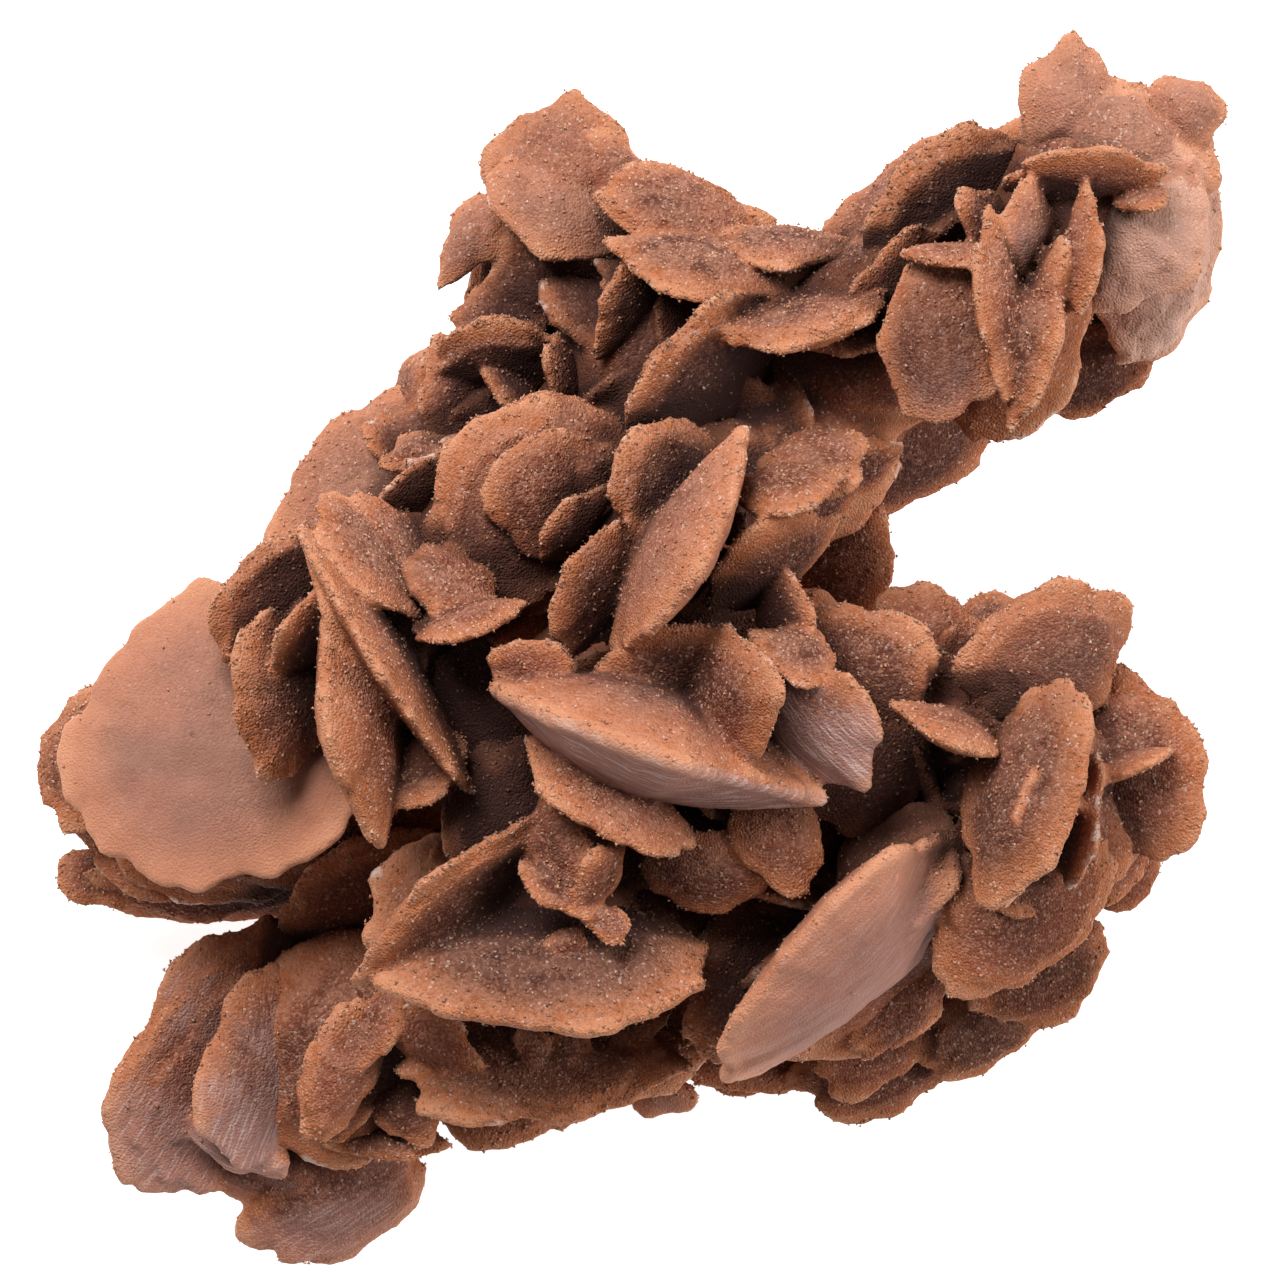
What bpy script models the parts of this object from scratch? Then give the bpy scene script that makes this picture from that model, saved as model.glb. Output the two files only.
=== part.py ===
"""A gypsum sand rose: a cluster of lens-shaped crystals grown through one another in desert sand.

The rose lies on its back, as it rests on a table. +Z is up, +Y is the side with the two upper arms,
and the origin is on the table, under the middle of the rose's outline.
"""

import math
import random
from typing import NamedTuple

import bmesh
import bpy
from mathutils import Matrix, Vector

MM = 0.001

# The rose is one intergrown piece, so all its crystals are fused in this one object.
ROSE = "sand_rose"

# The place on the table under the rose's middle, in the layout's own coordinates, in mm.
TABLE_POINT = (-0.78, -0.91, 5.5)

# A crystal's rim is blunt: half of its thickness there, as a share of half of its full thickness.
RIM_SHARE = 0.25
# The middle ring of a large crystal's faces, as a share of the way to the rim.
FACE_RING = 0.62


class Grade(NamedTuple):
    """How finely a crystal is cut, up to this half length in mm."""

    limit: float
    sides: int
    blunt_rim: bool
    face_ring: bool


GRADES = (
    Grade(3.4, 6, False, False),
    Grade(6.0, 8, False, False),
    Grade(9.2, 8, False, False),
    Grade(99.0, 12, True, False),
)
CORE_GRADE = Grade(99.0, 7, False, True)
FOOT_GRADE = Grade(99.0, 9, True, False)

# The rim's slow waves: how many to a turn, and how deep each is as a share of the radius.
WAVES = (2, 3, 5)
WAVE_DEPTHS = (0.030, 0.045, 0.035)

STONE_COLOUR = (0.47, 0.235, 0.13, 1.0)
STONE_ROUGHNESS = 0.85


class Blade(NamedTuple):
    """One lens crystal. Lengths are in mm and angles in degrees.

    at is its middle. long, wide and half are half of its length, breadth and thickness. turn is the
    way its long axis points, counted from +X. lean turns its upper face from straight up towards the
    side at turn + 90. point draws its ends out: 0 is an ellipse and 1 an almond.
    """

    name: str
    at: tuple
    long: float
    wide: float
    half: float
    turn: float = 0.0
    lean: float = 0.0
    point: float = 0.15


HEART = [
    Blade("shelf", (0.6, -6.9, 41.3), 12.0, 8.0, 3.9, -19, 76, 0.5),
    Blade("shelf apron", (-2.3, -10.6, 40.5), 6.8, 5.0, 1.5, -35, 55, 0.3),
    Blade("shelf fin", (6.4, -4.2, 43.5), 5.2, 6.0, 1.6, -84, -58, 0.5),
    Blade("shelf back", (2.4, -2.0, 41.0), 5.4, 4.0, 1.3, 8, -40),
    Blade("shelf tip", (-7.6, -1.9, 41.5), 3.0, 2.4, 0.9, -5, -30),
    Blade("beaded blade", (12.1, -5.5, 42.0), 5.6, 4.8, 1.6, -50, -35),
    Blade("beaded roof", (10.8, -1.0, 43.0), 3.2, 3.0, 1.0, -25, 50),
    Blade("short post", (10.1, 1.8, 40.0), 3.2, 3.0, 0.9, -75, -50),
    Blade("right shoulder", (15.5, -2.1, 36.0), 5.6, 4.9, 1.5, -30, -15),
    Blade("right elbow", (15.8, -9.3, 35.0), 5.2, 4.3, 1.4, 40, -25),
    Blade("spur", (21.7, -6.2, 40.0), 4.3, 4.2, 1.3, -22, 75, 0.6),
    Blade("heart lower", (4.6, -16.0, 37.0), 4.7, 3.3, 1.2, -5, -20),
    Blade("heart drop", (9.5, -13.6, 38.0), 4.5, 3.3, 1.2, -60, 10, 0.4),
    Blade("heart left", (-11.2, -4.2, 34.0), 4.8, 4.2, 1.3, -70, -20),
    Blade("heart plate", (-9.5, -11.9, 35.0), 5.4, 4.2, 1.3, 60, -10),
    Blade("heart lobe", (-8.4, -9.1, 35.7), 2.8, 2.0, 0.9, 70, -20),
]

CREST = [
    Blade("tall fin", (2.9, 6.6, 43.0), 8.5, 6.5, 2.3, 60, 72, 0.55),
    Blade("crest right", (10.2, 10.5, 41.0), 3.9, 4.4, 1.3, 12, 65, 0.5),
    Blade("crest back", (12.3, 12.3, 37.0), 3.8, 4.0, 1.2, 15, 50),
    Blade("crest lower", (9.0, 5.6, 40.0), 5.6, 4.6, 1.4, 36, -58, 0.5),
    Blade("crest wall", (1.8, 10.5, 38.0), 5.2, 5.2, 1.4, 80, -40),
    Blade("crest left", (-2.6, 3.6, 40.0), 5.3, 4.6, 1.2, 62, -50),
    Blade("dome", (-8.4, 9.0, 33.5), 8.0, 7.0, 2.4, 60, -20, 0.0),
    Blade("dome scale", (-6.7, 10.3, 36.0), 4.6, 4.2, 1.1, 60, -20, 0.0),
    Blade("dome crown", (-5.6, 14.5, 34.0), 4.6, 3.0, 1.1, -10, 10),
    Blade("dome rib", (-4.6, 8.1, 37.0), 3.4, 2.4, 0.9, 45, -50),
    Blade("dome button", (-3.5, 12.3, 35.4), 2.6, 2.0, 1.2, 0, 10),
    Blade("dome sill", (-12.1, 1.4, 40.0), 4.1, 3.6, 1.0, 15, 70, 0.4),
    Blade("dome step", (-13.3, 3.9, 38.0), 3.8, 3.2, 1.0, -25, 40),
]

FAN = [
    Blade("fan spine", (-17.9, -0.7, 38.5), 11.4, 7.2, 1.5, -58, 83, 0.4),
    Blade("fan upper", (-18.9, 5.8, 38.5), 5.6, 4.2, 1.3, -48, 60, 0.4),
    Blade("fan outer", (-16.5, 6.0, 36.5), 5.0, 3.2, 1.1, -50, 50),
    Blade("fan lens", (-19.5, -5.2, 39.5), 8.9, 6.2, 2.5, -81, 68, 0.45),
    Blade("fan left", (-25.0, -3.5, 37.0), 6.4, 4.8, 1.7, 85, -45, 0.3),
    Blade("fan rib", (-23.0, 0.7, 39.0), 4.2, 3.8, 1.1, 55, -65, 0.3),
    Blade("fan back", (-25.7, 2.6, 34.5), 5.6, 4.2, 1.4, 50, -30),
    Blade("fan knob", (-23.9, 5.6, 31.8), 2.8, 2.4, 1.9, 0, 10),
    Blade("fan foot", (-15.3, -8.8, 37.5), 3.8, 3.2, 1.1, 35, 35, 0.4),
    Blade("great blade", (-29.6, -7.0, 30.5), 11.6, 10.3, 2.2, 45, 14, 0.0),
]

LEFT_BACK = [
    Blade("far left", (-39.0, -8.4, 20.0), 5.2, 4.4, 1.3, 60, 20),
    Blade("far left hook", (-38.6, -13.2, 17.0), 3.2, 2.2, 0.9, -20, -30),
    Blade("far left lobe", (-38.3, -16.9, 14.0), 3.7, 2.8, 1.1, 0, 10),
    Blade("far left strip", (-30.8, -17.3, 15.0), 8.4, 3.8, 1.2, 3, -35),
    Blade("far left sill", (-34.5, -15.8, 17.0), 5.4, 3.0, 1.0, -12, 20),
    Blade("left web", (-18.9, -17.5, 22.0), 7.2, 5.4, 1.5, 20, -50),
    Blade("left web lower", (-20.7, -20.0, 18.0), 5.6, 3.4, 1.2, 20, -20),
    Blade("left rear", (-18.6, 10.5, 24.0), 8.8, 6.8, 1.6, 50, 25, 0.0),
    Blade("left rear lobe", (-15.6, 13.2, 29.0), 2.8, 1.8, 0.9, 10, 40),
    Blade("left rear scoop", (-15.4, 10.6, 29.5), 3.6, 2.8, 0.9, 45, -50),
    Blade("left rear bud", (-15.4, 7.0, 30.8), 2.4, 2.0, 0.9, -40, 0),
]

UPPER_LEFT_ARM = [
    Blade("arm brow", (-10.2, 20.1, 26.5), 5.0, 3.8, 1.4, 3, -50, 0.1),
    Blade("arm cap", (-10.2, 22.9, 23.5), 3.4, 2.4, 1.1, 0, 20),
    Blade("arm side", (-13.2, 16.8, 25.5), 4.7, 2.8, 1.2, -80, 30),
    Blade("arm post", (-5.6, 18.9, 28.5), 2.9, 2.4, 0.9, -80, 65, 0.4),
    Blade("arm splint", (-9.1, 17.5, 27.4), 2.8, 2.6, 0.9, -42, 65, 0.4),
    Blade("peak", (-5.6, 32.8, 24.0), 6.2, 5.2, 2.8, 84, 8, 0.12),
    Blade("peak wing", (-11.8, 28.7, 23.0), 4.0, 2.3, 1.4, 56, 25, 0.5),
    Blade("peak brow", (-5.8, 30.7, 26.0), 5.6, 4.2, 1.9, -22, 32, 0.2),
    Blade("peak chin", (-7.0, 25.4, 23.2), 4.6, 3.7, 1.5, 0, -12, 0.0),
    Blade("peak jaw", (-9.9, 25.4, 21.0), 3.2, 1.8, 1.1, -70, 20),
    Blade("peak shoulder", (-0.9, 32.4, 25.5), 4.2, 2.6, 1.3, -45, 20),
    Blade("slab upper", (2.8, 30.0, 29.5), 6.0, 3.8, 1.7, -20, 35, 0.2),
    Blade("slab lower", (4.2, 26.3, 33.5), 6.6, 4.0, 1.4, -12, 52, 0.4),
    Blade("slab thin", (10.2, 27.6, 32.5), 5.0, 3.2, 1.0, -3, 60, 0.3),
    Blade("slab thinner", (9.5, 26.5, 31.5), 4.0, 2.8, 0.8, -2, 65, 0.3),
    Blade("scoop", (-0.4, 23.8, 30.5), 4.3, 3.8, 1.1, 60, -55),
    Blade("pink lobe", (0.7, 20.7, 29.5), 4.2, 3.4, 1.2, 50, -5),
]

BRIDGE = [
    Blade("great rim", (4.4, 18.0, 33.5), 7.6, 6.6, 1.4, 52, -55, 0.1),
    Blade("bridge wedge", (11.6, 22.4, 36.5), 6.3, 4.4, 1.3, 14, 65, 0.5),
    Blade("bridge chip", (14.4, 21.3, 35.5), 3.4, 2.3, 0.9, 5, 50),
    Blade("bridge shade", (14.7, 16.8, 27.5), 5.7, 5.2, 1.3, 0, -35),
    Blade("bridge under", (18.4, 13.2, 23.5), 8.4, 4.8, 1.4, 27, -42, 0.2),
    Blade("neck disc", (14.6, 5.6, 25.0), 4.8, 4.0, 1.2, 85, 25),
]

UPPER_RIGHT_ARM = [
    Blade("sweep outer", (19.2, 31.0, 31.0), 8.4, 4.6, 1.4, 37, 48, 0.3),
    Blade("sweep inner", (21.6, 30.2, 32.6), 7.4, 5.4, 1.5, 44, -34, 0.2),
    Blade("sweep lower", (17.5, 24.3, 34.5), 5.2, 3.6, 1.1, 55, -45),
    Blade("sweep root", (13.7, 25.4, 33.5), 4.8, 2.8, 1.1, 32, 50),
    Blade("head block", (33.2, 36.6, 32.6), 7.4, 5.4, 4.0, -20, 15, 0.0),
    Blade("head peak", (29.8, 37.7, 34.0), 4.9, 3.6, 2.6, 80, -10, 0.3),
    Blade("head corner", (37.6, 37.4, 33.0), 3.4, 2.8, 2.4, -30, 8, 0.0),
    Blade("head visor", (30.8, 32.4, 39.0), 5.8, 4.2, 1.2, 3, -60, 0.3),
    Blade("flank", (37.0, 28.6, 30.5), 9.2, 4.4, 3.2, 80, -12, 0.0),
    Blade("flank bulge", (35.4, 28.8, 34.2), 6.0, 4.4, 3.0, 70, 8, 0.0),
    Blade("flank shin", (36.4, 22.2, 29.5), 4.6, 2.7, 2.2, 52, -20, 0.2),
    Blade("flank rim", (31.6, 19.2, 26.5), 5.2, 3.4, 1.2, 20, -24, 0.0),
    Blade("flank floor", (32.2, 22.4, 26.6), 4.6, 4.0, 1.2, 60, -8, 0.0),
    Blade("front lobe", (21.0, 21.0, 40.0), 6.2, 4.3, 1.6, 84, 12, 0.0),
    Blade("front lens", (24.9, 22.8, 41.6), 6.4, 4.6, 1.8, -84, 55, 0.2),
    Blade("front blade", (28.4, 21.4, 41.2), 6.6, 4.6, 2.0, 76, 46, 0.15),
    Blade("front fin", (30.2, 26.4, 40.6), 5.2, 3.8, 1.5, 82, 58, 0.3),
    Blade("inner chip", (23.9, 29.2, 37.5), 2.8, 2.2, 0.9, -70, 40),
    Blade("inner post", (26.9, 28.6, 39.8), 3.4, 2.6, 1.3, 82, -42),
    Blade("sliver", (21.9, 26.7, 41.0), 3.6, 2.6, 0.7, 0, 70, 0.5),
    Blade("flank chip", (34.6, 30.2, 38.4), 2.8, 2.2, 0.9, 8, 65),
]

RIGHT_CLUSTER = [
    Blade("right crown", (28.4, -1.1, 35.5), 6.9, 5.2, 1.7, 32, -30, 0.1),
    Blade("right bud", (24.5, 1.3, 29.5), 2.8, 2.0, 0.9, 20, 0),
    Blade("right saddle", (20.6, -0.3, 31.5), 5.0, 3.8, 1.3, -40, 10),
    Blade("right step", (22.0, -2.6, 32.5), 2.8, 2.2, 0.9, -60, 40),
    Blade("right lens", (26.8, -10.5, 41.0), 8.4, 5.2, 2.1, 69, 42, 0.4),
    Blade("right disc", (34.3, -9.2, 31.5), 7.0, 5.6, 1.6, -80, -15, 0.0),
    Blade("right plate", (26.7, -18.5, 33.5), 7.6, 5.8, 1.5, 45, -25, 0.1),
    Blade("right ear", (33.0, -15.4, 30.5), 3.8, 2.8, 1.1, 60, -20),
    Blade("right tab", (34.2, -16.9, 27.5), 2.8, 2.2, 0.9, 30, -10),
    Blade("right lower", (28.4, -23.4, 27.5), 5.2, 3.9, 1.1, 30, -15),
    Blade("right hem", (24.4, -27.8, 21.5), 5.2, 3.2, 1.1, 28, -25),
    Blade("base right", (16.8, -30.5, 19.5), 6.2, 3.9, 1.2, 15, -20),
    Blade("base right scale", (16.5, -29.5, 22.0), 4.4, 2.8, 0.9, 25, -15),
    Blade("tongue outer", (19.0, -26.2, 26.5), 4.6, 1.9, 1.0, 48, -20),
    Blade("tongue inner", (17.6, -25.6, 27.0), 4.4, 1.7, 0.9, 52, -20),
    Blade("great wedge", (14.7, -21.7, 34.5), 12.0, 7.2, 3.0, 44, -66, 0.35),
    Blade("wedge step", (17.6, -16.8, 35.0), 6.4, 4.3, 2.1, 55, 30, 0.2),
    Blade("wedge wall", (7.7, -23.6, 29.5), 6.8, 5.0, 1.4, 60, -35),
    Blade("base chip", (7.0, -30.0, 18.8), 5.2, 2.7, 0.9, -12, 30),
    Blade("base crumb", (7.2, -31.0, 17.8), 3.2, 1.7, 0.8, 0, 0),
]

BOWL = [
    Blade("bowl front", (-6.7, -22.3, 36.5), 11.5, 7.6, 2.6, -2, 50, 0.1),
    Blade("bowl wall", (-12.3, -18.4, 37.0), 9.0, 5.8, 1.2, 40, -60, 0.2),
    Blade("bowl splint", (-5.6, -17.2, 40.5), 3.3, 2.4, 0.8, -32, 45, 0.4),
    Blade("bowl cross", (-3.0, -16.5, 41.0), 3.0, 2.2, 0.8, 55, -50, 0.3),
    Blade("bowl post", (-5.6, -14.0, 40.0), 3.9, 2.8, 1.1, -80, -30),
    Blade("under plate", (-7.2, -30.0, 27.0), 9.8, 6.0, 1.6, 4, 45, 0.1),
    Blade("under lobe", (-0.8, -27.2, 26.6), 3.0, 2.0, 0.9, 30, 30),
    Blade("under shade", (-14.4, -28.3, 28.5), 3.8, 2.8, 1.0, -40, -40),
    Blade("under tab", (1.4, -32.3, 18.5), 2.7, 1.9, 0.9, -20, 0),
    Blade("under shelf", (-10.5, -33.4, 20.2), 5.0, 3.0, 1.2, 2, 20),
    Blade("under chip", (-6.0, -33.2, 20.6), 2.3, 1.6, 0.8, -30, 0),
    Blade("under pebble", (-16.6, -33.4, 23.0), 2.8, 2.4, 1.0, -50, 0),
]

LOWER_LEFT = [
    Blade("corner lens", (-21.2, -30.4, 26.5), 5.4, 2.9, 1.5, 68, -24, 0.2),
    Blade("corner strip", (-18.6, -27.2, 27.0), 3.8, 2.1, 1.0, 60, 40),
    Blade("corner drop", (-21.0, -33.4, 24.4), 2.6, 1.8, 0.9, 60, 0),
    Blade("corner hem", (-17.8, -35.8, 21.5), 4.2, 1.6, 0.8, 0, 30),
    Blade("corner disc", (-29.8, -30.0, 18.3), 11.0, 7.8, 2.2, 60, -30, 0.0),
    Blade("corner scale", (-26.8, -30.4, 21.8), 7.6, 5.0, 1.9, 78, -28, 0.0),
    Blade("corner foot", (-22.0, -39.4, 15.5), 7.2, 5.3, 1.8, 35, -22, 0.0),
    Blade("corner web", (-27.2, -37.2, 17.2), 4.4, 3.4, 1.3, -20, -12, 0.0),
]


CORE = [
    Blade("core heart", (3.0, -5.0, 31.0), 14.0, 10.5, 8.5, 10, 8, 0.0),
    Blade("core crest", (2.0, 7.0, 32.0), 9.2, 8.0, 7.5, 70, 5, 0.0),
    Blade("core dome", (-8.0, 8.5, 27.5), 9.2, 8.0, 6.0, 60, -8, 0.0),
    Blade("core fan", (-19.0, -2.0, 30.0), 10.0, 7.0, 7.0, -60, 5, 0.0),
    Blade("core left", (-24.0, -9.0, 21.0), 13.0, 9.0, 7.0, 5, -6, 0.0),
    Blade("core centre", (-2.0, -6.0, 18.0), 16.0, 12.0, 7.0, 0, 8, 0.0),
    Blade("core bowl", (-7.0, -19.5, 30.0), 12.0, 7.5, 7.5, 0, 12, 0.0),
    Blade("core under", (-5.0, -26.5, 21.5), 11.5, 7.0, 6.0, 4, 12, 0.0),
    Blade("core right", (18.5, -5.5, 29.0), 11.0, 7.5, 7.5, 10, 8, 0.0),
    Blade("core far right", (28.0, -11.5, 29.5), 9.2, 8.0, 11.5, 65, 6, 0.0),
    Blade("core wedge", (14.5, -20.5, 26.0), 11.0, 8.0, 8.2, 42, -8, 0.0),
    Blade("core hem", (20.5, -24.5, 19.5), 9.2, 5.6, 4.5, 30, -12, 0.0),
    Blade("core corner", (-20.5, -28.5, 20.5), 10.0, 7.5, 6.0, 55, -8, 0.0),
    Blade("core saddle", (-13.0, 14.5, 22.5), 9.0, 6.0, 5.0, 50, 8, 0.0),
    Blade("core bridge", (2.0, 20.5, 26.0), 11.5, 7.5, 6.5, 60, 10, 0.0),
    Blade("core arm", (-6.0, 27.0, 20.0), 8.6, 6.2, 5.5, 80, 5, 0.0),
    Blade("core neck", (16.0, 20.5, 28.0), 11.0, 6.2, 6.0, 15, -8, 0.0),
    Blade("core tail", (-30.0, -13.5, 18.5), 8.5, 5.5, 4.5, 5, -6, 0.0),
    Blade("core keel", (-9.0, -16.0, 17.0), 11.0, 8.0, 5.5, 10, 6, 0.0),
    Blade("core bay", (9.5, 12.5, 27.5), 9.0, 7.0, 8.0, 20, -8, 0.0),
    Blade("core rear", (0.0, 11.5, 19.0), 11.0, 8.0, 6.0, 10, 6, 0.0),
    Blade("core lap", (5.5, -14.5, 29.5), 9.0, 6.2, 8.6, 0, 6, 0.0),
    Blade("core head", (30.0, 29.5, 32.5), 11.0, 7.5, 7.0, 65, 6, 0.0),
    Blade("core front", (25.5, 22.0, 34.5), 8.6, 6.0, 6.5, 70, 4, 0.0),
]

FEET = [
    Blade("foot left", (-26.0, -8.0, 12.3), 10.0, 8.0, 2.3, 70, 76, 0.1),
    Blade("foot right", (25.0, -11.0, 11.8), 10.5, 7.5, 2.3, -70, 74, 0.1),
    Blade("foot front", (-9.0, -27.0, 12.0), 10.0, 8.0, 2.3, 15, -72, 0.1),
    Blade("foot corner", (12.5, -24.0, 13.0), 8.8, 9.0, 2.2, -20, -70, 0.1),
    Blade("foot back", (-1.0, 13.5, 13.5), 10.5, 9.2, 2.4, -10, 74, 0.1),
    Blade("foot arm", (-5.0, 25.0, 12.0), 8.5, 8.0, 2.1, 60, 66, 0.1),
    Blade("foot centre", (2.0, -6.0, 12.5), 11.0, 8.0, 2.4, 40, 78, 0.1),
]

# The underside's other crystals stand in a spiral round the core, each nearly on edge.
UNDER_COUNT = 20
UNDER_MIDDLE = (-1.0, -10.0)
UNDER_REACH = (21.0, 15.0)
UNDER_LEVELS = (12.0, 17.0)
UNDER_LONG = (5.5, 8.5)
UNDER_LEAN = (48.0, 84.0)
UNDER_TWIST = 40.0
GOLDEN_ANGLE = 137.508


def outline_point(blade, angle):
    """The rim's place at this angle round the blade, along its long and its wide axis, in mm."""
    waves = random.Random(blade.name)
    swell = 1.0
    for count, depth in zip(WAVES, WAVE_DEPTHS):
        swell += depth * math.cos(count * angle + waves.uniform(0.0, math.tau))
    sine = math.sin(angle)
    return (
        blade.long * swell * math.cos(angle),
        blade.wide * swell * sine * abs(sine) ** blade.point,
    )


def stance(blade):
    """The matrix that puts a blade, made flat about the origin, where it grew."""
    place = Matrix.Translation((Vector(blade.at) - Vector(TABLE_POINT)) * MM)
    turned = Matrix.Rotation(math.radians(blade.turn), 4, "Z")
    leaned = Matrix.Rotation(math.radians(-blade.lean), 4, "X")
    return place @ turned @ leaned


def section_of(blade, grade):
    """The crystal's half section: (share of the way to the rim, height), from top to bottom."""
    rim = RIM_SHARE * blade.half
    section = [(1.0, rim), (1.0, -rim)] if grade.blunt_rim else [(1.0, 0.0)]
    if grade.face_ring:
        shoulder = rim + (blade.half - rim) * (1.0 - FACE_RING**2)
        section = [(FACE_RING, shoulder), *section, (FACE_RING, -shoulder)]
    return section


def grade_of(blade):
    if blade in CORE:
        return CORE_GRADE
    if blade in FEET:
        return FOOT_GRADE
    return next(grade for grade in GRADES if blade.long <= grade.limit)


def lens_mesh(blade):
    """A faceted lens: two domed faces that meet at the rim."""
    grade = grade_of(blade)
    sides = grade.sides
    shape = bmesh.new()
    rings = []
    for share, height in section_of(blade, grade):
        ring = []
        for side in range(sides):
            x, y = outline_point(blade, math.tau * side / sides)
            ring.append(shape.verts.new((x * share * MM, y * share * MM, height * MM)))
        rings.append(ring)
    for upper, lower in zip(rings, rings[1:]):
        for side in range(sides):
            after = (side + 1) % sides
            shape.faces.new((upper[side], lower[side], lower[after], upper[after]))
    for ring, height in ((rings[0], blade.half), (rings[-1][::-1], -blade.half)):
        tip = shape.verts.new((0.0, 0.0, height * MM))
        for side in range(sides):
            shape.faces.new((tip, ring[side], ring[(side + 1) % sides]))
    bmesh.ops.triangulate(shape, faces=shape.faces[:])
    shape.transform(stance(blade))
    mesh = bpy.data.meshes.new(blade.name)
    shape.to_mesh(mesh)
    shape.free()
    return mesh


def undergrowth():
    """The underside's crystals, spaced by the golden angle, with seeded sizes and slants."""
    spread = random.Random(7)
    blades = []
    for place in range(UNDER_COUNT):
        share = (place + 0.5) / UNDER_COUNT
        around = place * GOLDEN_ANGLE
        away = math.sqrt(share)
        x = UNDER_MIDDLE[0] + UNDER_REACH[0] * away * math.cos(math.radians(around))
        y = UNDER_MIDDLE[1] + UNDER_REACH[1] * away * math.sin(math.radians(around))
        low, high = UNDER_LEVELS
        long = spread.uniform(*UNDER_LONG)
        turn = around + spread.uniform(-UNDER_TWIST, UNDER_TWIST)
        lean = spread.choice((-1, 1)) * spread.uniform(*UNDER_LEAN)
        at = (x, y, low + (high - low) * share)
        blades.append(Blade(f"under {place}", at, long, 0.75 * long, 0.2 * long, turn, lean))
    return blades


def all_blades():
    seen = (HEART, CREST, FAN, LEFT_BACK, UPPER_LEFT_ARM, BRIDGE)
    more = (UPPER_RIGHT_ARM, RIGHT_CLUSTER, BOWL, LOWER_LEFT)
    hidden = (CORE, FEET, undergrowth())
    return [blade for group in hidden + seen + more for blade in group]


def sandy_gypsum():
    material = bpy.data.materials.new("sandy gypsum")
    material.use_nodes = True
    shader = material.node_tree.nodes["Principled BSDF"]
    shader.inputs["Base Color"].default_value = STONE_COLOUR
    shader.inputs["Roughness"].default_value = STONE_ROUGHNESS
    shader.inputs["Metallic"].default_value = 0.0
    return material


def place_guides(blades):
    """These crystals as hidden guides, in one collection that the rose is fused from."""
    guides = bpy.data.collections.new("crystals")
    bpy.context.scene.collection.children.link(guides)
    for blade in blades:
        guide = bpy.data.objects.new(blade.name, lens_mesh(blade))
        guide.hide_render = True
        guide.display_type = "WIRE"
        guides.objects.link(guide)
    return guides


def table_cutter():
    """A block whose top is the table, which wears the feet flat."""
    shape = bmesh.new()
    bmesh.ops.create_cube(shape, size=0.2)
    bmesh.ops.translate(shape, vec=(0.0, 0.0, -0.1), verts=shape.verts[:])
    mesh = bpy.data.meshes.new("table")
    shape.to_mesh(mesh)
    shape.free()
    cutter = bpy.data.objects.new("table", mesh)
    cutter.hide_render = True
    cutter.display_type = "WIRE"
    bpy.context.scene.collection.objects.link(cutter)
    return cutter


def sand_rose():
    """The fused crystals, cut level where they stand."""
    first, *others = all_blades()
    guides = place_guides(others)
    mesh = lens_mesh(first)
    mesh.materials.append(sandy_gypsum())
    rose = bpy.data.objects.new(ROSE, mesh)
    bpy.context.scene.collection.objects.link(rose)
    fuse = rose.modifiers.new("grown together", "BOOLEAN")
    fuse.operation = "UNION"
    fuse.solver = "EXACT"
    fuse.operand_type = "COLLECTION"
    fuse.collection = guides
    feet = rose.modifiers.new("flat feet", "BOOLEAN")
    feet.operation = "DIFFERENCE"
    feet.solver = "EXACT"
    feet.object = table_cutter()


for old in list(bpy.data.objects):
    bpy.data.objects.remove(old)
sand_rose()
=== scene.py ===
import math
import random
from typing import NamedTuple

import bmesh
import bpy
import numpy as np
from mathutils import Matrix, Vector, noise


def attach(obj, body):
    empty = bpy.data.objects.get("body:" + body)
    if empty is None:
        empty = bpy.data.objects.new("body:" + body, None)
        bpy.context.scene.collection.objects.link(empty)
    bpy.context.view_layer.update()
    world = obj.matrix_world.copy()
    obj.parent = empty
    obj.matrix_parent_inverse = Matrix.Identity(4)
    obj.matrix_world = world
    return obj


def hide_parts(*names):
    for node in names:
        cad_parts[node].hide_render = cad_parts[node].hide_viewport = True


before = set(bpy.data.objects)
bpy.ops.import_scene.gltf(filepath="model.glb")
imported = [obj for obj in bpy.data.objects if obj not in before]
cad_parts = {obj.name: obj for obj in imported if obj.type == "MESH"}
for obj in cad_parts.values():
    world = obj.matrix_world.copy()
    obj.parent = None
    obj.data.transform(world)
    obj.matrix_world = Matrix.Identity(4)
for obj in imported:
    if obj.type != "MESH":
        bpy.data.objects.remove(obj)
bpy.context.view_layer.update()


# The heart is the front of the rose: a thick almond shelf with a fin standing on it, and the stacked
# crystals round them. Each is a gypsum lens that grew in wet desert sand and took its grains in, so it
# is brown right through, with blunt crumbling rims, and its faces keep a coat of loose sand.
MM = 0.001
# The place on the table under the rose's middle, in mm, as the crystals are laid out.
TABLE_POINT = (-0.78, -0.91, 5.5)


class Blade(NamedTuple):
    """One lens crystal. Lengths are in mm and angles in degrees.

    at is its middle. long, wide and half are half of its length, breadth and thickness. turn is the
    way its long axis points, counted from +X. lean turns its upper face from straight up towards the
    side at turn + 90. point draws its ends out: 0 is an ellipse and 1 an almond. bare is how clean of
    sand its faces are, and over 1 less of it settles on what faced up. pale is how bleached it is or,
    below 0, how much painted shade darkens it. steps is how many ledges its growth left on each face.
    """

    name: str
    at: tuple
    long: float
    wide: float
    half: float
    turn: float = 0.0
    lean: float = 0.0
    point: float = 0.15
    bare: float = 0.2
    pale: float = 0.0
    steps: int = 0


# The rim's slow waves: how many to a turn, and how deep each is as a share of the radius.
WAVES = (2, 3, 5)
WAVE_DEPTHS = (0.030, 0.045, 0.035)
# Its lobes: how long each kind is along the rim, and how deep, in mm.
LOBES = ((8.0, 0.22), (4.6, 0.15), (2.6, 0.08), (1.6, 0.04))
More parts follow.
